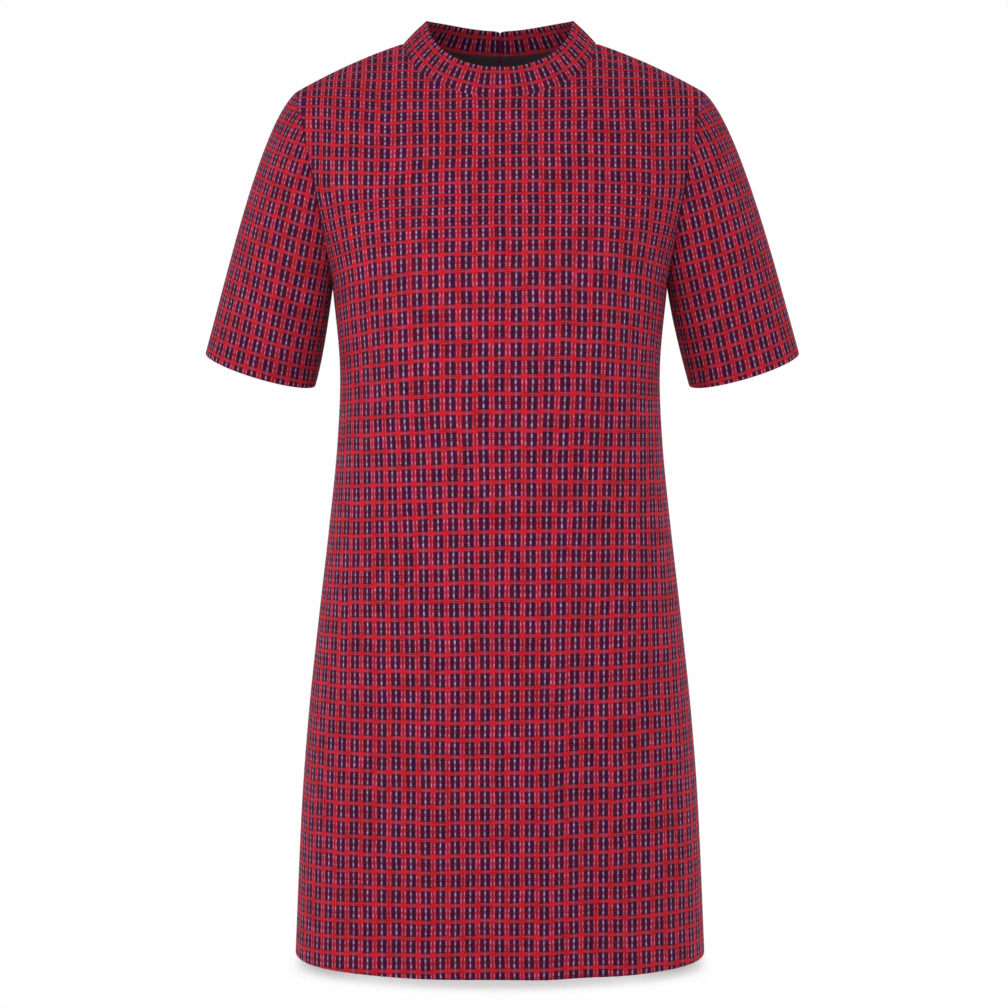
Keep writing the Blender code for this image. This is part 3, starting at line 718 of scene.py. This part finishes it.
@lru_cache(maxsize=None)
def panel_spot(half, u, v):
    """U and V of the flat cloth at a point of the front or the back."""
    point = torso(half, u, v)
    length = round_length(half, u, v, point)
    eased = length * (1 - SIDE_EASE * (length / SIDE_AT) ** 2)
    stripe = 0.5 + math.copysign(eased, u) / table_value(STRIPES, 1, point.z)
    if v <= YOKE_FROM:
        return stripe, row_at(half, point)
    climbed, before = 0.0, torso(half, u, YOKE_FROM)
    row = row_at(half, before)
    for i in range(1, CLIMB_STEPS + 1):
        after = torso(half, u, mix(YOKE_FROM, v, i / CLIMB_STEPS))
        climbed += math.hypot(after.z - before.z, after.y - before.y)
        before = after
    return stripe, row - climbed / TOP_ROW


rows_down = panel_spot(-1, 0.0, 0.0)[1] - panel_spot(-1, 0.0, 2.0)[1]
print("rows between neck and hem:", round(rows_down, 1))

# %% [markdown]
# ## Front and back
#
# The front is cut in one. The back is two pieces with the zip between them. They
# meet at the side and shoulder seams, where the rolled edges leave a fine groove.

# %% The panels
BODY_LENGTH = UNDERARM.z - HEM
COLUMNS_A_SIDE = 28
BODY_ROWS = 60
CHEST_ROWS = 22


def panel(name, half, low, high):
    columns = turned(low, TURNED_SEAM)
    columns += [(i / COLUMNS_A_SIDE, 0.0, 0.0) for i in range(-COLUMNS_A_SIDE + 1, COLUMNS_A_SIDE)
                if low + 1e-6 < i / COLUMNS_A_SIDE < high - 1e-6]
    columns += reversed(turned(high, TURNED_SEAM))
    rows = turned(0.0, TURNED_HEM, 0.0)
    rows += [(i / BODY_ROWS, 0.0, 0.0) for i in range(1, BODY_ROWS)]
    rows += [(1 + i / CHEST_ROWS, 0.0, 0.0) for i in range(CHEST_ROWS)]
    rows += reversed(turned(2.0, TURNED_SEAM))

    def surface(u, v):
        return torso(half, round(u, 7), round(v, 7))

    def place(column, row):
        (u, inset_u, depth_u), (v, inset_v, depth_v) = column, row
        if inset_u or depth_u:
            inwards = -1 if u > 0 or (u == 0 and high == 0) else 1
            u, v = moved_in(surface, u, v, inwards, 0, inset_u)
        if inset_v or depth_v:
            u, v = moved_in(surface, u, v, 0, -1 if v > 1 else 1, inset_v)
        u, v = round(u, 7), round(v, 7)
        edge = math.copysign(min(abs(u), 1 - 1e-4), u)
        normal = outward(surface, edge, v, (-1, 0), (1, 2)) * -half
        point = surface(u, v) - normal * (depth_u + depth_v)
        return point, panel_spot(half, u, v)

    if half > 0:
        columns = columns[::-1]
    return sheet_object(name, columns, rows, place)


front = panel("front_cloth", -1, -1.0, 1.0)
back_left = panel("back_left_cloth", 1, -1.0, 0.0)
back_right = panel("back_right_cloth", 1, 0.0, 1.0)
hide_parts("front")
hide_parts("back_left")
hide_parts("back_right")
print("front grid:", len(front.data.vertices), "points")

# %% [markdown]
# ## Sleeves
#
# A short sleeve is a tube set into the armhole. Its stripes run down it, parallel
# to its own middle line, and its rows lie square to that line, so both are
# measured from the line and not from the body.

# %% The sleeves
SLEEVE_COLUMNS = 64
SLEEVE_ROWS = 26
SLEEVE_HEM = 0.020
SLEEVE_PITCH = 0.0142     # stripes round the sleeve
SLEEVE_ROW = 0.0141
SLEEVE_RADIUS = {"hem": 0.0530, "top": 0.0640}
SLEEVE_LONG = 0.16        # from the one radius to the other
SLEEVE_PHASE = {-1: (0.10, 0.36), 1: (0.18, 0.24)}    # where the check starts at the hem


def sleeve_axis(side):
    """Hem centre, direction up the sleeve, and the directions outwards and forwards."""
    hem = (SLEEVE_HEM_OUTER + SLEEVE_HEM_INNER) / 2 + Vector((side * SLEEVE_SWAY, 0, 0))
    top = (UNDERARM + SHOULDER_TIP) / 2
    up = (top - hem).normalized()
    out = SLEEVE_HEM_OUTER - SLEEVE_HEM_INNER
    out = (out - up * out.dot(up)).normalized()
    ahead = up.cross(out)
    ahead = ahead if ahead.y < 0 else -ahead
    return hem, up, out, ahead


def sleeve_spot(side, a, t):
    hem, up, out, ahead = sleeve_axis(side)
    point = sleeve(side, a, t)
    point.x *= side
    offset = point - hem
    height = offset.dot(up)
    angle = math.atan2(offset.dot(ahead), offset.dot(out))
    if a > 0.5 and angle < 0:
        angle += 2 * math.pi
    if a < -0.5 and angle > 0:
        angle -= 2 * math.pi
    radius = mix(SLEEVE_RADIUS["hem"], SLEEVE_RADIUS["top"], height / SLEEVE_LONG)
    start_u, start_v = SLEEVE_PHASE[side]
    return start_u + side * angle * radius / SLEEVE_PITCH, start_v - height / SLEEVE_ROW


def sleeve_cloth(name, side):
    columns = [-1 + 2 * i / SLEEVE_COLUMNS for i in range(SLEEVE_COLUMNS + 1)]
    if side > 0:
        columns.reverse()
    rows = turned(1.0, SLEEVE_HEM, 0.0)
    rows += [(1 - i / SLEEVE_ROWS, 0.0, 0.0) for i in range(1, SLEEVE_ROWS)]
    rows += reversed(turned(0.0, TURNED_SEAM))

    surface = partial(sleeve, side)

    def place(a, row):
        t, inset, depth = row
        if inset or depth:
            a, t = moved_in(surface, a, t, 0, -1 if t > 0.5 else 1, inset)
        low, high = ((0, 0), (1, 1)) if a >= 0 else ((-1, 0), (0, 1))
        normal = outward(surface, a, t, low, high) * side
        return surface(a, t) - normal * depth, sleeve_spot(side, a, t)

    return sheet_object(name, columns, rows, place, closed=True)


sleeve_left = sleeve_cloth("sleeve_left_cloth", -1)
sleeve_right = sleeve_cloth("sleeve_right_cloth", 1)
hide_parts("sleeve_left")
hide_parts("sleeve_right")
print("sleeve grid:", len(sleeve_left.data.vertices), "points")

# %% [markdown]
# ## Collar
#
# The stand collar is a band folded along its top edge, so the same sheet runs up
# its outside, over the fold and down its inside, where it ends a little below the
# neck seam and covers the seam allowances. At the centre back its two ends are
# closed, where the sheet's lines draw together. A dark strip lies over the seam
# inside. It is worked out from the band's own points, moved in, so it keeps to
# the band; a copy shrunk by a modifier would cut through it at the sides.

# %% The collar
COLLAR_THICK = 0.0024
COLLAR_COLUMNS = 44       # on each side of the front
COLLAR_ROWS = 9
COLLAR_LIFT = 0.03        # its plain rows lie this share of its height higher
COLLAR_TURN = 0.036       # and its fold turns in this share
COLLAR_PITCH = 0.0139
ROUND_STEPS = 200         # that half the band's length is measured in
COLLAR_RED = {"low": 0.33, "high": 0.80}   # heights of the two crimson rows on the band
COLLAR_FOLD_ROW = (1 - COLLAR_RED["low"]) / (COLLAR_RED["high"] - COLLAR_RED["low"])
COLLAR_FOLD_TAKES = 0.16  # share of a row that is used up by the fold
END_GAP = 0.00003         # half the gap between the band's two ends
END_RUN = 0.27            # metres of band taken for one unit of a there
NOTCH = 0.0004            # the ends part a little more at the top
END_ROUND, END_DIP = 0.013, 0.0016        # and are rounded off there


def collar_spot(w, length, inside):
    row = (w - COLLAR_RED["low"]) / (COLLAR_RED["high"] - COLLAR_RED["low"])
    if inside:
        row = 2 * COLLAR_FOLD_ROW + COLLAR_FOLD_TAKES - row
    return 0.5 + length / COLLAR_PITCH, -row


def off_collar(a, w):
    """Direction away from the neck at a point of the band."""
    return outward(collar, math.copysign(min(abs(a), 1 - STEP), a), w, (-1, 0), (1, 1))


def collar_cloth():
    # each end closes over a few lines: inset, and share of the full depth
    ends = [(0.0, 0.0), (0.0003, 0.45), (0.0009, 0.85), (0.0018, 1.0)]
    columns = [(-1.0, inset, full) for inset, full in ends]
    columns += [(i / COLLAR_COLUMNS, 0.0, 1.0) for i in range(-COLLAR_COLUMNS + 1, COLLAR_COLUMNS)]
    columns += [(1.0, inset, full) for inset, full in reversed(ends)]
    half = COLLAR_THICK / 2
    up = [i / COLLAR_ROWS for i in range(COLLAR_ROWS)]
    rows = [(0.0, -half, False), (0.0, -half * 0.45, False)]
    rows += [(w + COLLAR_LIFT, 0.0, False) for w in up]
    for degrees in (0, 30, 60, 90, 120, 150, 180):
        angle = math.radians(degrees)
        rows.append((1.0 - COLLAR_TURN * (1 - math.sin(angle)),
                     -half * (1 - math.cos(angle)), angle > math.pi / 2))
    rows += [(w + COLLAR_LIFT, -2 * half, True) for w in reversed(up)]
    rows += [(-0.05, -2.3 * half, True), (-0.12, -2.8 * half, True), (-0.12, -2.2 * half, True)]
    lengths, before = [0.0], collar(0, 0.6)
    for i in range(1, ROUND_STEPS + 1):
        here = collar(i / ROUND_STEPS, 0.6)
        lengths.append(lengths[-1] + (here - before).length)
        before = here

    def place(column, row):
        (a, inset, full), (w, depth, inside) = column, row
        if inset or abs(a) == 1:
            a -= math.copysign(inset / END_RUN, a)
        depth = -half + (depth + half) * full
        point = collar(a, w) + off_collar(a, w) * depth
        if abs(a) > 1 - 1e-6:
            point.x += math.copysign(END_GAP + NOTCH * max(0, (w - 0.85) / 0.15) ** 2, a)
        point.z -= END_DIP * smooth((abs(a) - 1 + END_ROUND) / END_ROUND) * max(0, (w - 0.8) / 0.2)
        length = math.copysign(lengths[round(abs(a) * ROUND_STEPS)], a)
        return point, collar_spot(w, length, inside)

    return sheet_object("collar_cloth", columns, rows, place)


collar_band = collar_cloth()
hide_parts("collar")
print("collar grid:", len(collar_band.data.vertices), "points")

# %% The dark strip inside the neck
NECK_STRIP = 0.0005        # its thickness
NECK_STRIP_TO = 0.996      # it stops beside the zip
NECK_STRIP_ROWS = (
    # height on the band, depth behind the band's outer face
    (0.29, 0.0026), (0.28, 0.0030), (0.15, 0.0030), (0.0, 0.0031),
    (-0.06, 0.0034), (-0.13, 0.0040), (-0.17, 0.0042),
)


def behind_collar(a, row):
    w, depth = row
    return collar(a, w) - off_collar(a, w) * depth, (a, w)


columns = [NECK_STRIP_TO * i / COLLAR_COLUMNS for i in range(-COLLAR_COLUMNS, COLLAR_COLUMNS + 1)]
neck_strip = sheet_object("neck_strip", columns, NECK_STRIP_ROWS, behind_collar)
neck_strip.modifiers["layer"].thickness = NECK_STRIP
print("neck tape:", len(neck_strip.data.vertices), "points")

# %% [markdown]
# ## The check
#
# A jacquard shows different yarns at different places. One repeat is a dark
# block, split by a column of two pale dashes, beside a crimson stripe with two
# pink dashes on either side, and a bright crimson row below. The pattern is
# written out as distances from lines of the UV map, so it stays sharp at any
# size; a painted picture would blur up close. Slow noise bends the lines, and a
# random number for each repeat shifts its colours, as dyed yarns do.

# %% The jacquard
BLOCK = {"wide": (0.115, 0.205), "tall": (0.070, 0.140)}   # where a block's edge rises
PALE_DASH = (0.056, 0.125)      # half width and half length, in repeats
PINK_DASH = (0.048, 0.120)
PINK_AT, DASH_AT = 0.118, 0.305     # from the middle of the stripe, and of the row
SEEDS_APART, COLUMNS_APART = 7.3, 23.0      # far enough for noises that share nothing
NECK_PAINTED_SHADE = 0.78        # painted shade: the cloth in the neck is made darker, as the room's even light would reach too far into it
PURPLE, WINE, NAVY = ink(84, 16, 56), ink(106, 18, 42), ink(54, 22, 66)
CHARCOAL, VIOLET, LILAC = ink(62, 28, 42), ink(128, 68, 108), ink(196, 170, 206)
STEEL, CRIMSON, MAGENTA = ink(162, 158, 184), ink(178, 32, 58), ink(190, 48, 90)
CHERRY, RED, RUST = ink(130, 18, 40), ink(180, 44, 64), ink(164, 64, 66)
SCARLET, PINK, SALMON = ink(218, 28, 38), ink(236, 134, 166), ink(228, 108, 104)


def jacquard(name, reverse=False, bright=1.0):
    finish = Finish(name, Roughness=0.9, Sheen_Weight=0.03, Sheen_Roughness=0.4,
                    Sheen_Tint=(1.0, 0.6, 0.7, 1.0), Specular_IOR_Level=0.04)
    stripe, row, _ = finish.parts(finish.node("ShaderNodeUVMap", {"uv_map": "cloth"}))
    lay = finish.lay

    def noise(seed, scale, tall=1.0, detail=1.0, at=stripe):
        """Soft noise about 0; scale counts its spots in a repeat."""
        spot = finish.vector(at * scale, row * (scale * tall), seed * SEEDS_APART)
        return finish.noise(spot, 1.0, detail) - 0.5

    def oval(across, along, size):
        """1 in the middle of an oval patch and 0 outside it."""
        x, y = across / size[0], along / size[1]
        return (x * x + y * y).fall(0.25, 1.3)

    # the lines of the check, bent a little and out of step from column to column
    bent_stripe = stripe + noise(1, 0.35) * 0.12 + noise(2, 6.0) * 0.07
    stagger = noise(3, 0.16, at=bent_stripe.floor() * COLUMNS_APART) * 0.20
    bent_row = row + noise(4, 0.45) * 0.12 + stagger + noise(5, 7.0, 0.6) * 0.09
    across, down = bent_stripe.part(), bent_row.part()
    from_middle = abs(across - 0.5)
    from_stripe = 0.5 - from_middle       # 0 on a crimson stripe, 0.5 in a block
    from_row = 0.5 - abs(down - 0.5)

    # three chances for each block
    cell = finish.vector(bent_stripe.floor(), bent_row.floor())
    left_chance, right_chance, lean = finish.parts(finish.node(
        "ShaderNodeTexWhiteNoise", {"noise_dimensions": "3D"}, {"Vector": cell}, out=1))

    in_block = from_stripe.rise(*BLOCK["wide"]) * from_row.rise(*BLOCK["tall"])
    tilt = (down - 0.5) * (lean - 0.5) * 0.16
    pale_dash = oval(from_middle, from_row - DASH_AT, PALE_DASH)
    pink_dash = oval(0.5 - abs(across - 0.5 + tilt) - PINK_AT, from_row - DASH_AT, PINK_DASH)
    crossing = oval(from_stripe, from_row, (0.24, 0.17))
    streak = noise(6, 7.0, 0.25)
    fleck = noise(7, 13.0, 0.7, 2.0)
    strong = noise(8, 2.1)
    blush = noise(11, 4.0, 0.5, 2.0)

    # the dark block: two halves of streaky yarn, a violet line, then the pale dashes
    left = lay(PURPLE, (WINE, left_chance), (CHARCOAL, streak.rise(-0.02, 0.12)))
    right = lay(NAVY, (CHARCOAL, right_chance), (PURPLE, streak.rise(0.0, 0.12)))
    dark = lay(left, (right, (across + streak * 0.05).rise(0.47, 0.53)),
               (WINE, noise(9, 2.6).rise(0.08, 0.25) * 0.6),
               (CHERRY, from_stripe.fall(0.16, 0.27) * 0.55),
               (VIOLET, from_middle.fall(0.03, 0.09) * 0.9),
               (lay(LILAC, (STEEL, right_chance)), pale_dash * (strong * 0.9 + 0.80)))

    # the ground: crimson stripes with pink dashes, red rows, scarlet where they cross
    pink = lay(PINK, (SALMON, left_chance.rise(0.55, 0.9)))
    red = lay(RED, (MAGENTA, blush.rise(0.04, 0.2) * 0.6), (CHERRY, fleck * 2.2),
              (RUST, from_row.fall(0.015, 0.05) * 0.6),
              (PINK, from_middle.fall(0.01, 0.05) * 0.25))
    ground = lay(CRIMSON, (MAGENTA, blush.rise(-0.02, 0.16)),
                 (CHERRY, from_stripe.fall(0.02, 0.10) * 0.5 + fleck * 1.6),
                 (pink, abs(from_stripe - PINK_AT).fall(0.02, 0.07) * 0.16),
                 (pink, pink_dash * (strong * 1.1 + 0.66)),
                 (red, from_row.fall(0.09, 0.135)),
                 (SCARLET, crossing * (fleck * 2.0 + strong * 1.2 + 0.72)))

    colour = lay(ground, (dark, in_block))
    weft, warp = bent_row.waves(7.5), bent_stripe.waves(18)
    ribs = noise(10, 0.8).rise(-0.12, 0.12) * 0.7 + 0.3
    value = 0.99 + fleck * 1.6 - (1.0 - weft) * ribs * 0.46 - (1.0 - warp) * 0.08
    if reverse:
        colour = lay(colour, (ink(150, 40, 66), 0.5))
    # bright below 1 is painted shade: the whole copy is made darker
    colour = finish.node("ShaderNodeHueSaturation",
                         sockets={"Value": value * bright, "Color": colour})
    relief = weft * 0.35 + warp * 0.15 + in_block * 0.4 + fleck
    return finish.feed(Base_Color=colour, Normal=finish.bump(0.5, 0.0005, relief))


face_side = jacquard("check_cloth")
back_side = jacquard("check_cloth_reverse", reverse=True)
# a darker copy of the check, with painted shade, for the inside of the collar
neck_painted_shade = jacquard("check_cloth_with_painted_shade", bright=NECK_PAINTED_SHADE)
CLOTH_PIECES = (front, back_left, back_right, sleeve_left, sleeve_right, collar_band)
for piece in CLOTH_PIECES:
    finishes = [face_side, back_side] + ([neck_painted_shade, back_side] if piece is collar_band else [])
    for finish in finishes:
        piece.data.materials.append(finish)
# the inside of the collar, past its fold, takes the copy with painted shade
cloth = collar_band.data.uv_layers["cloth"].uv
for face in collar_band.data.polygons:
    if max(cloth[loop].vector.y for loop in face.loop_indices) < -COLLAR_FOLD_ROW:
        face.material_index = 2
print("nodes in the jacquard:", len(face_side.node_tree.nodes))

# %% [markdown]
# ## The zip
#
# The zip at the centre back is a concealed one: its two tapes lie inside, and
# only the slider and its drop-shaped pull show at the top of the collar. The
# tapes are a close dark twill and the metal is enamelled in the cloth's darkest
# colour, worn a little along its edges.

# %% Tape and metal
TWILL_LINES = 1 / 0.0011  # to a metre

tape = Finish("zip_tape", Roughness=0.85, Sheen_Weight=0.1)
spot = tape.spot()
side, _, height = tape.parts(spot)
twill = (height + abs(side)).waves(TWILL_LINES)
fuzz = tape.noise(spot, 900.0)
tape.feed(Normal=tape.bump(0.6, 0.0003, twill), Base_Color=tape.lay(
    ink(36, 22, 28), (ink(52, 34, 42), twill * 0.6 + fuzz * 0.4)))

metal = Finish("zip_metal", Metallic=0.65, Roughness=0.38)
cast = metal.noise(metal.spot(), 700.0, 3.0)
worn = metal.node("ShaderNodeNewGeometry", out="Pointiness").rise(0.52, 0.56)
enamel = metal.lay(ink(44, 24, 38), (ink(62, 36, 52), cast), (ink(140, 122, 132), worn * 0.6))
metal.feed(Base_Color=enamel, Roughness=cast * 0.2 + 0.3, Normal=metal.bump(0.2, 0.0001, cast))

for node, finish in (("zip_tape_left", tape), ("zip_tape_right", tape),
                     ("zip_slider", metal), ("zip_pull", metal)):
    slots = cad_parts[node].material_slots
    for i in range(len(slots)):
        slots[i].material = finish.material
neck_strip.data.materials.append(tape.material)
print("zip nodes and the neck tape finished")

# %% [markdown]
# ## Thread
#
# The sewing shows only inside: the two coils of the zip, the stitches that hold
# its tapes, and the overlock along the raw edges of the hems. A real thread dips
# in and out of the cloth. Here each one is a line of points with a ring of four
# vertices round every point, which is cheap enough to repeat hundreds of times.
# A curve object with a bevel would look the same but carries far more faces.

# %% The thread maker
def thread(bm, points, radius):
    """A closed four-sided tube along a line of points."""
    rings = []
    for i, point in enumerate(points):
        ahead = (points[min(i + 1, len(points) - 1)] - points[max(i - 1, 0)]).normalized()
        side = ahead.cross(Vector((point.x, point.y, 0))).normalized()
        up = side.cross(ahead)
        turns = ((side, 1), (up, 1), (side, -1), (up, -1))
        rings.append([bm.verts.new(point + way * (sign * radius)) for way, sign in turns])
    for one, two in zip(rings, rings[1:]):
        for i in range(4):
            bm.faces.new((one[i - 1], one[i], two[i], two[i - 1]))
    bm.faces.new(rings[0])
    bm.faces.new(rings[-1])


def threads(name, lines, radius, finish):
    bm = bmesh.new()
    for line in lines:
        thread(bm, line, radius)
    bmesh.ops.recalc_face_normals(bm, faces=bm.faces)
    made = object_from(bm, name, "garment")
    made.data.materials.append(finish)
    print(name, "has", len(made.data.polygons), "faces")


def plain_thread(name, colour, roughness):
    finish = Finish(name, Roughness=roughness)
    twist = finish.noise(finish.spot(), 1500.0)
    shaded = ink(*(value * 0.7 for value in colour))
    return finish.feed(Base_Color=finish.lay(shaded, (ink(*colour), twist)))


coil_finish = plain_thread("zip_coil", (64, 48, 74), 0.35)
sewing_finish = plain_thread("sewing_thread", (112, 28, 60), 0.6)

# %% Coils, stitches and overlock
COIL_PITCH, COIL_WIRE = 0.0012, 0.0002
ZIP_FROM, ZIP_TO = -0.469, -0.037         # heights of the coil's two ends
KNOTS = 100               # to a level, up the centre back
TAPE_UNDER = 0.0027       # the tape's inner face lies this deep under the cloth's face
STITCH, STITCH_EVERY, STITCH_WIRE = 0.0024, 0.0032, 0.00015
STITCH_AT = 0.0100        # from the centre back
STITCH_ROW, STITCH_DEEP = 0.25, 0.0030    # on the band, and behind its outer face
STITCH_SHAPE = (
    # share of the stitch, height over the tape
    (0.0, -0.0001), (0.15, 0.00015), (0.85, 0.00015), (1.0, -0.0001),
)
BAND_STEPS = 60           # that half the band is measured in
LOOP = (
    # beside the centre, over the tape, along the pitch: one turn of the coil
    (0.0027, 0.0002, 0.00), (0.0013, 0.0008, 0.15), (-0.0002, 0.0007, 0.30),
    (-0.0002, 0.0004, 0.45), (0.0013, 0.0003, 0.65), (0.0027, 0.0002, 0.85),
)
OVERLOCK_PITCH = 0.0030
OVERLOCK_DEEP, OVERLOCK_PAST = 0.0040, 0.0002       # into the cloth, and past its raw edge
HEM_ROUND = {-1: 0.28, 1: 0.27}           # metres of hem for one unit of u,
SLEEVE_ROUND = 0.17                       # and of a sleeve's for one unit of a
HEM_RUNS = ((-1, -0.95, 0.95), (1, -0.95, -0.05), (1, 0.05, 0.95))   # half, from, to
SLEEVE_RUNS = ((-0.995, -0.005), (0.005, 0.995))


@lru_cache(maxsize=None)
def back_knot(i):
    """A point of the centre back, and the direction inwards from it."""
    v = i / KNOTS
    return torso(1, 0.0, v), outward(partial(torso, 1), STEP, v, (0, 0), (1, 2))


def under_back(v, x, over):
    """A point inside the centre back: x beside it and this much over the tape."""
    i = int(v * KNOTS)
    (low, low_in), (high, high_in) = back_knot(i), back_knot(i + 1)
    t = v * KNOTS - i
    return low.lerp(high, t) + Vector((x, 0, 0)) + low_in.lerp(high_in, t) * (TAPE_UNDER + over)


def up_the_back(step, shift=0.0):
    """Levels up the centre back, one step of cloth apart."""
    level, levels = (ZIP_FROM - HEM + shift) / BODY_LENGTH, []
    while under_back(level, 0.0, 0.0).z < ZIP_TO:
        levels.append(level)
        i = int(level * KNOTS)
        level += step / ((back_knot(i + 1)[0] - back_knot(i)[0]).length * KNOTS)
    return levels


coils, seams = [], []
band = [collar(i / BAND_STEPS, STITCH_ROW) for i in range(BAND_STEPS + 1)]
around_half = sum((after - before).length for before, after in zip(band, band[1:]))
for side in (-1, 1):
    levels = up_the_back(COIL_PITCH, 0.0 if side < 0 else COIL_PITCH / 2)
    coils.append([under_back(mix(low, high, along), side * x, over)
                  for low, high in zip(levels, levels[1:]) for x, over, along in LOOP])
    levels = up_the_back(STITCH_EVERY)
    for low, high in zip(levels, levels[1:]):
        seams.append([under_back(mix(low, high, end * STITCH / STITCH_EVERY),
                                 side * STITCH_AT, over) for end, over in STITCH_SHAPE])
strip_run = NECK_STRIP_TO * around_half / STITCH_EVERY
for i in range(-int(strip_run), int(strip_run)):
    line = []
    for end, over in STITCH_SHAPE:
        a = (i + end * STITCH / STITCH_EVERY + 0.1) * STITCH_EVERY / around_half
        line.append(collar(a, STITCH_ROW) - off_collar(a, STITCH_ROW) * (STITCH_DEEP + over))
    seams.append(line)
threads("zip_coils", coils, COIL_WIRE, coil_finish)
threads("tape_stitches", seams, STITCH_WIRE, sewing_finish)


def overlock(surface, low, high, edge, width, round_it, flip):
    """A zigzag over a hem's raw edge, from low to high round the piece."""
    steps = int(abs(high - low) * round_it / OVERLOCK_PITCH) * 2
    line = []
    for i in range(steps + 1):
        u = mix(low, high, i / steps)
        inset = width + (OVERLOCK_PAST if i % 2 else -OVERLOCK_DEEP)
        _, v = moved_in(surface, u, edge, 0, 1 if edge < 0.5 else -1, inset)
        normal = outward(surface, u, v, (min(low, high), 0), (max(low, high), 2)) * flip
        line.append(surface(u, v) - normal * (2 * ROLL + STITCH_WIRE))
    return line


hem_lines = [overlock(partial(torso, half), low, high, 0.0, TURNED_HEM, HEM_ROUND[half], -half)
             for half, low, high in HEM_RUNS]
hem_lines += [overlock(partial(sleeve, side), low, high, 1.0, SLEEVE_HEM, SLEEVE_ROUND, side)
              for side in (-1, 1) for low, high in SLEEVE_RUNS]
threads("hem_overlock", hem_lines, STITCH_WIRE, sewing_finish)
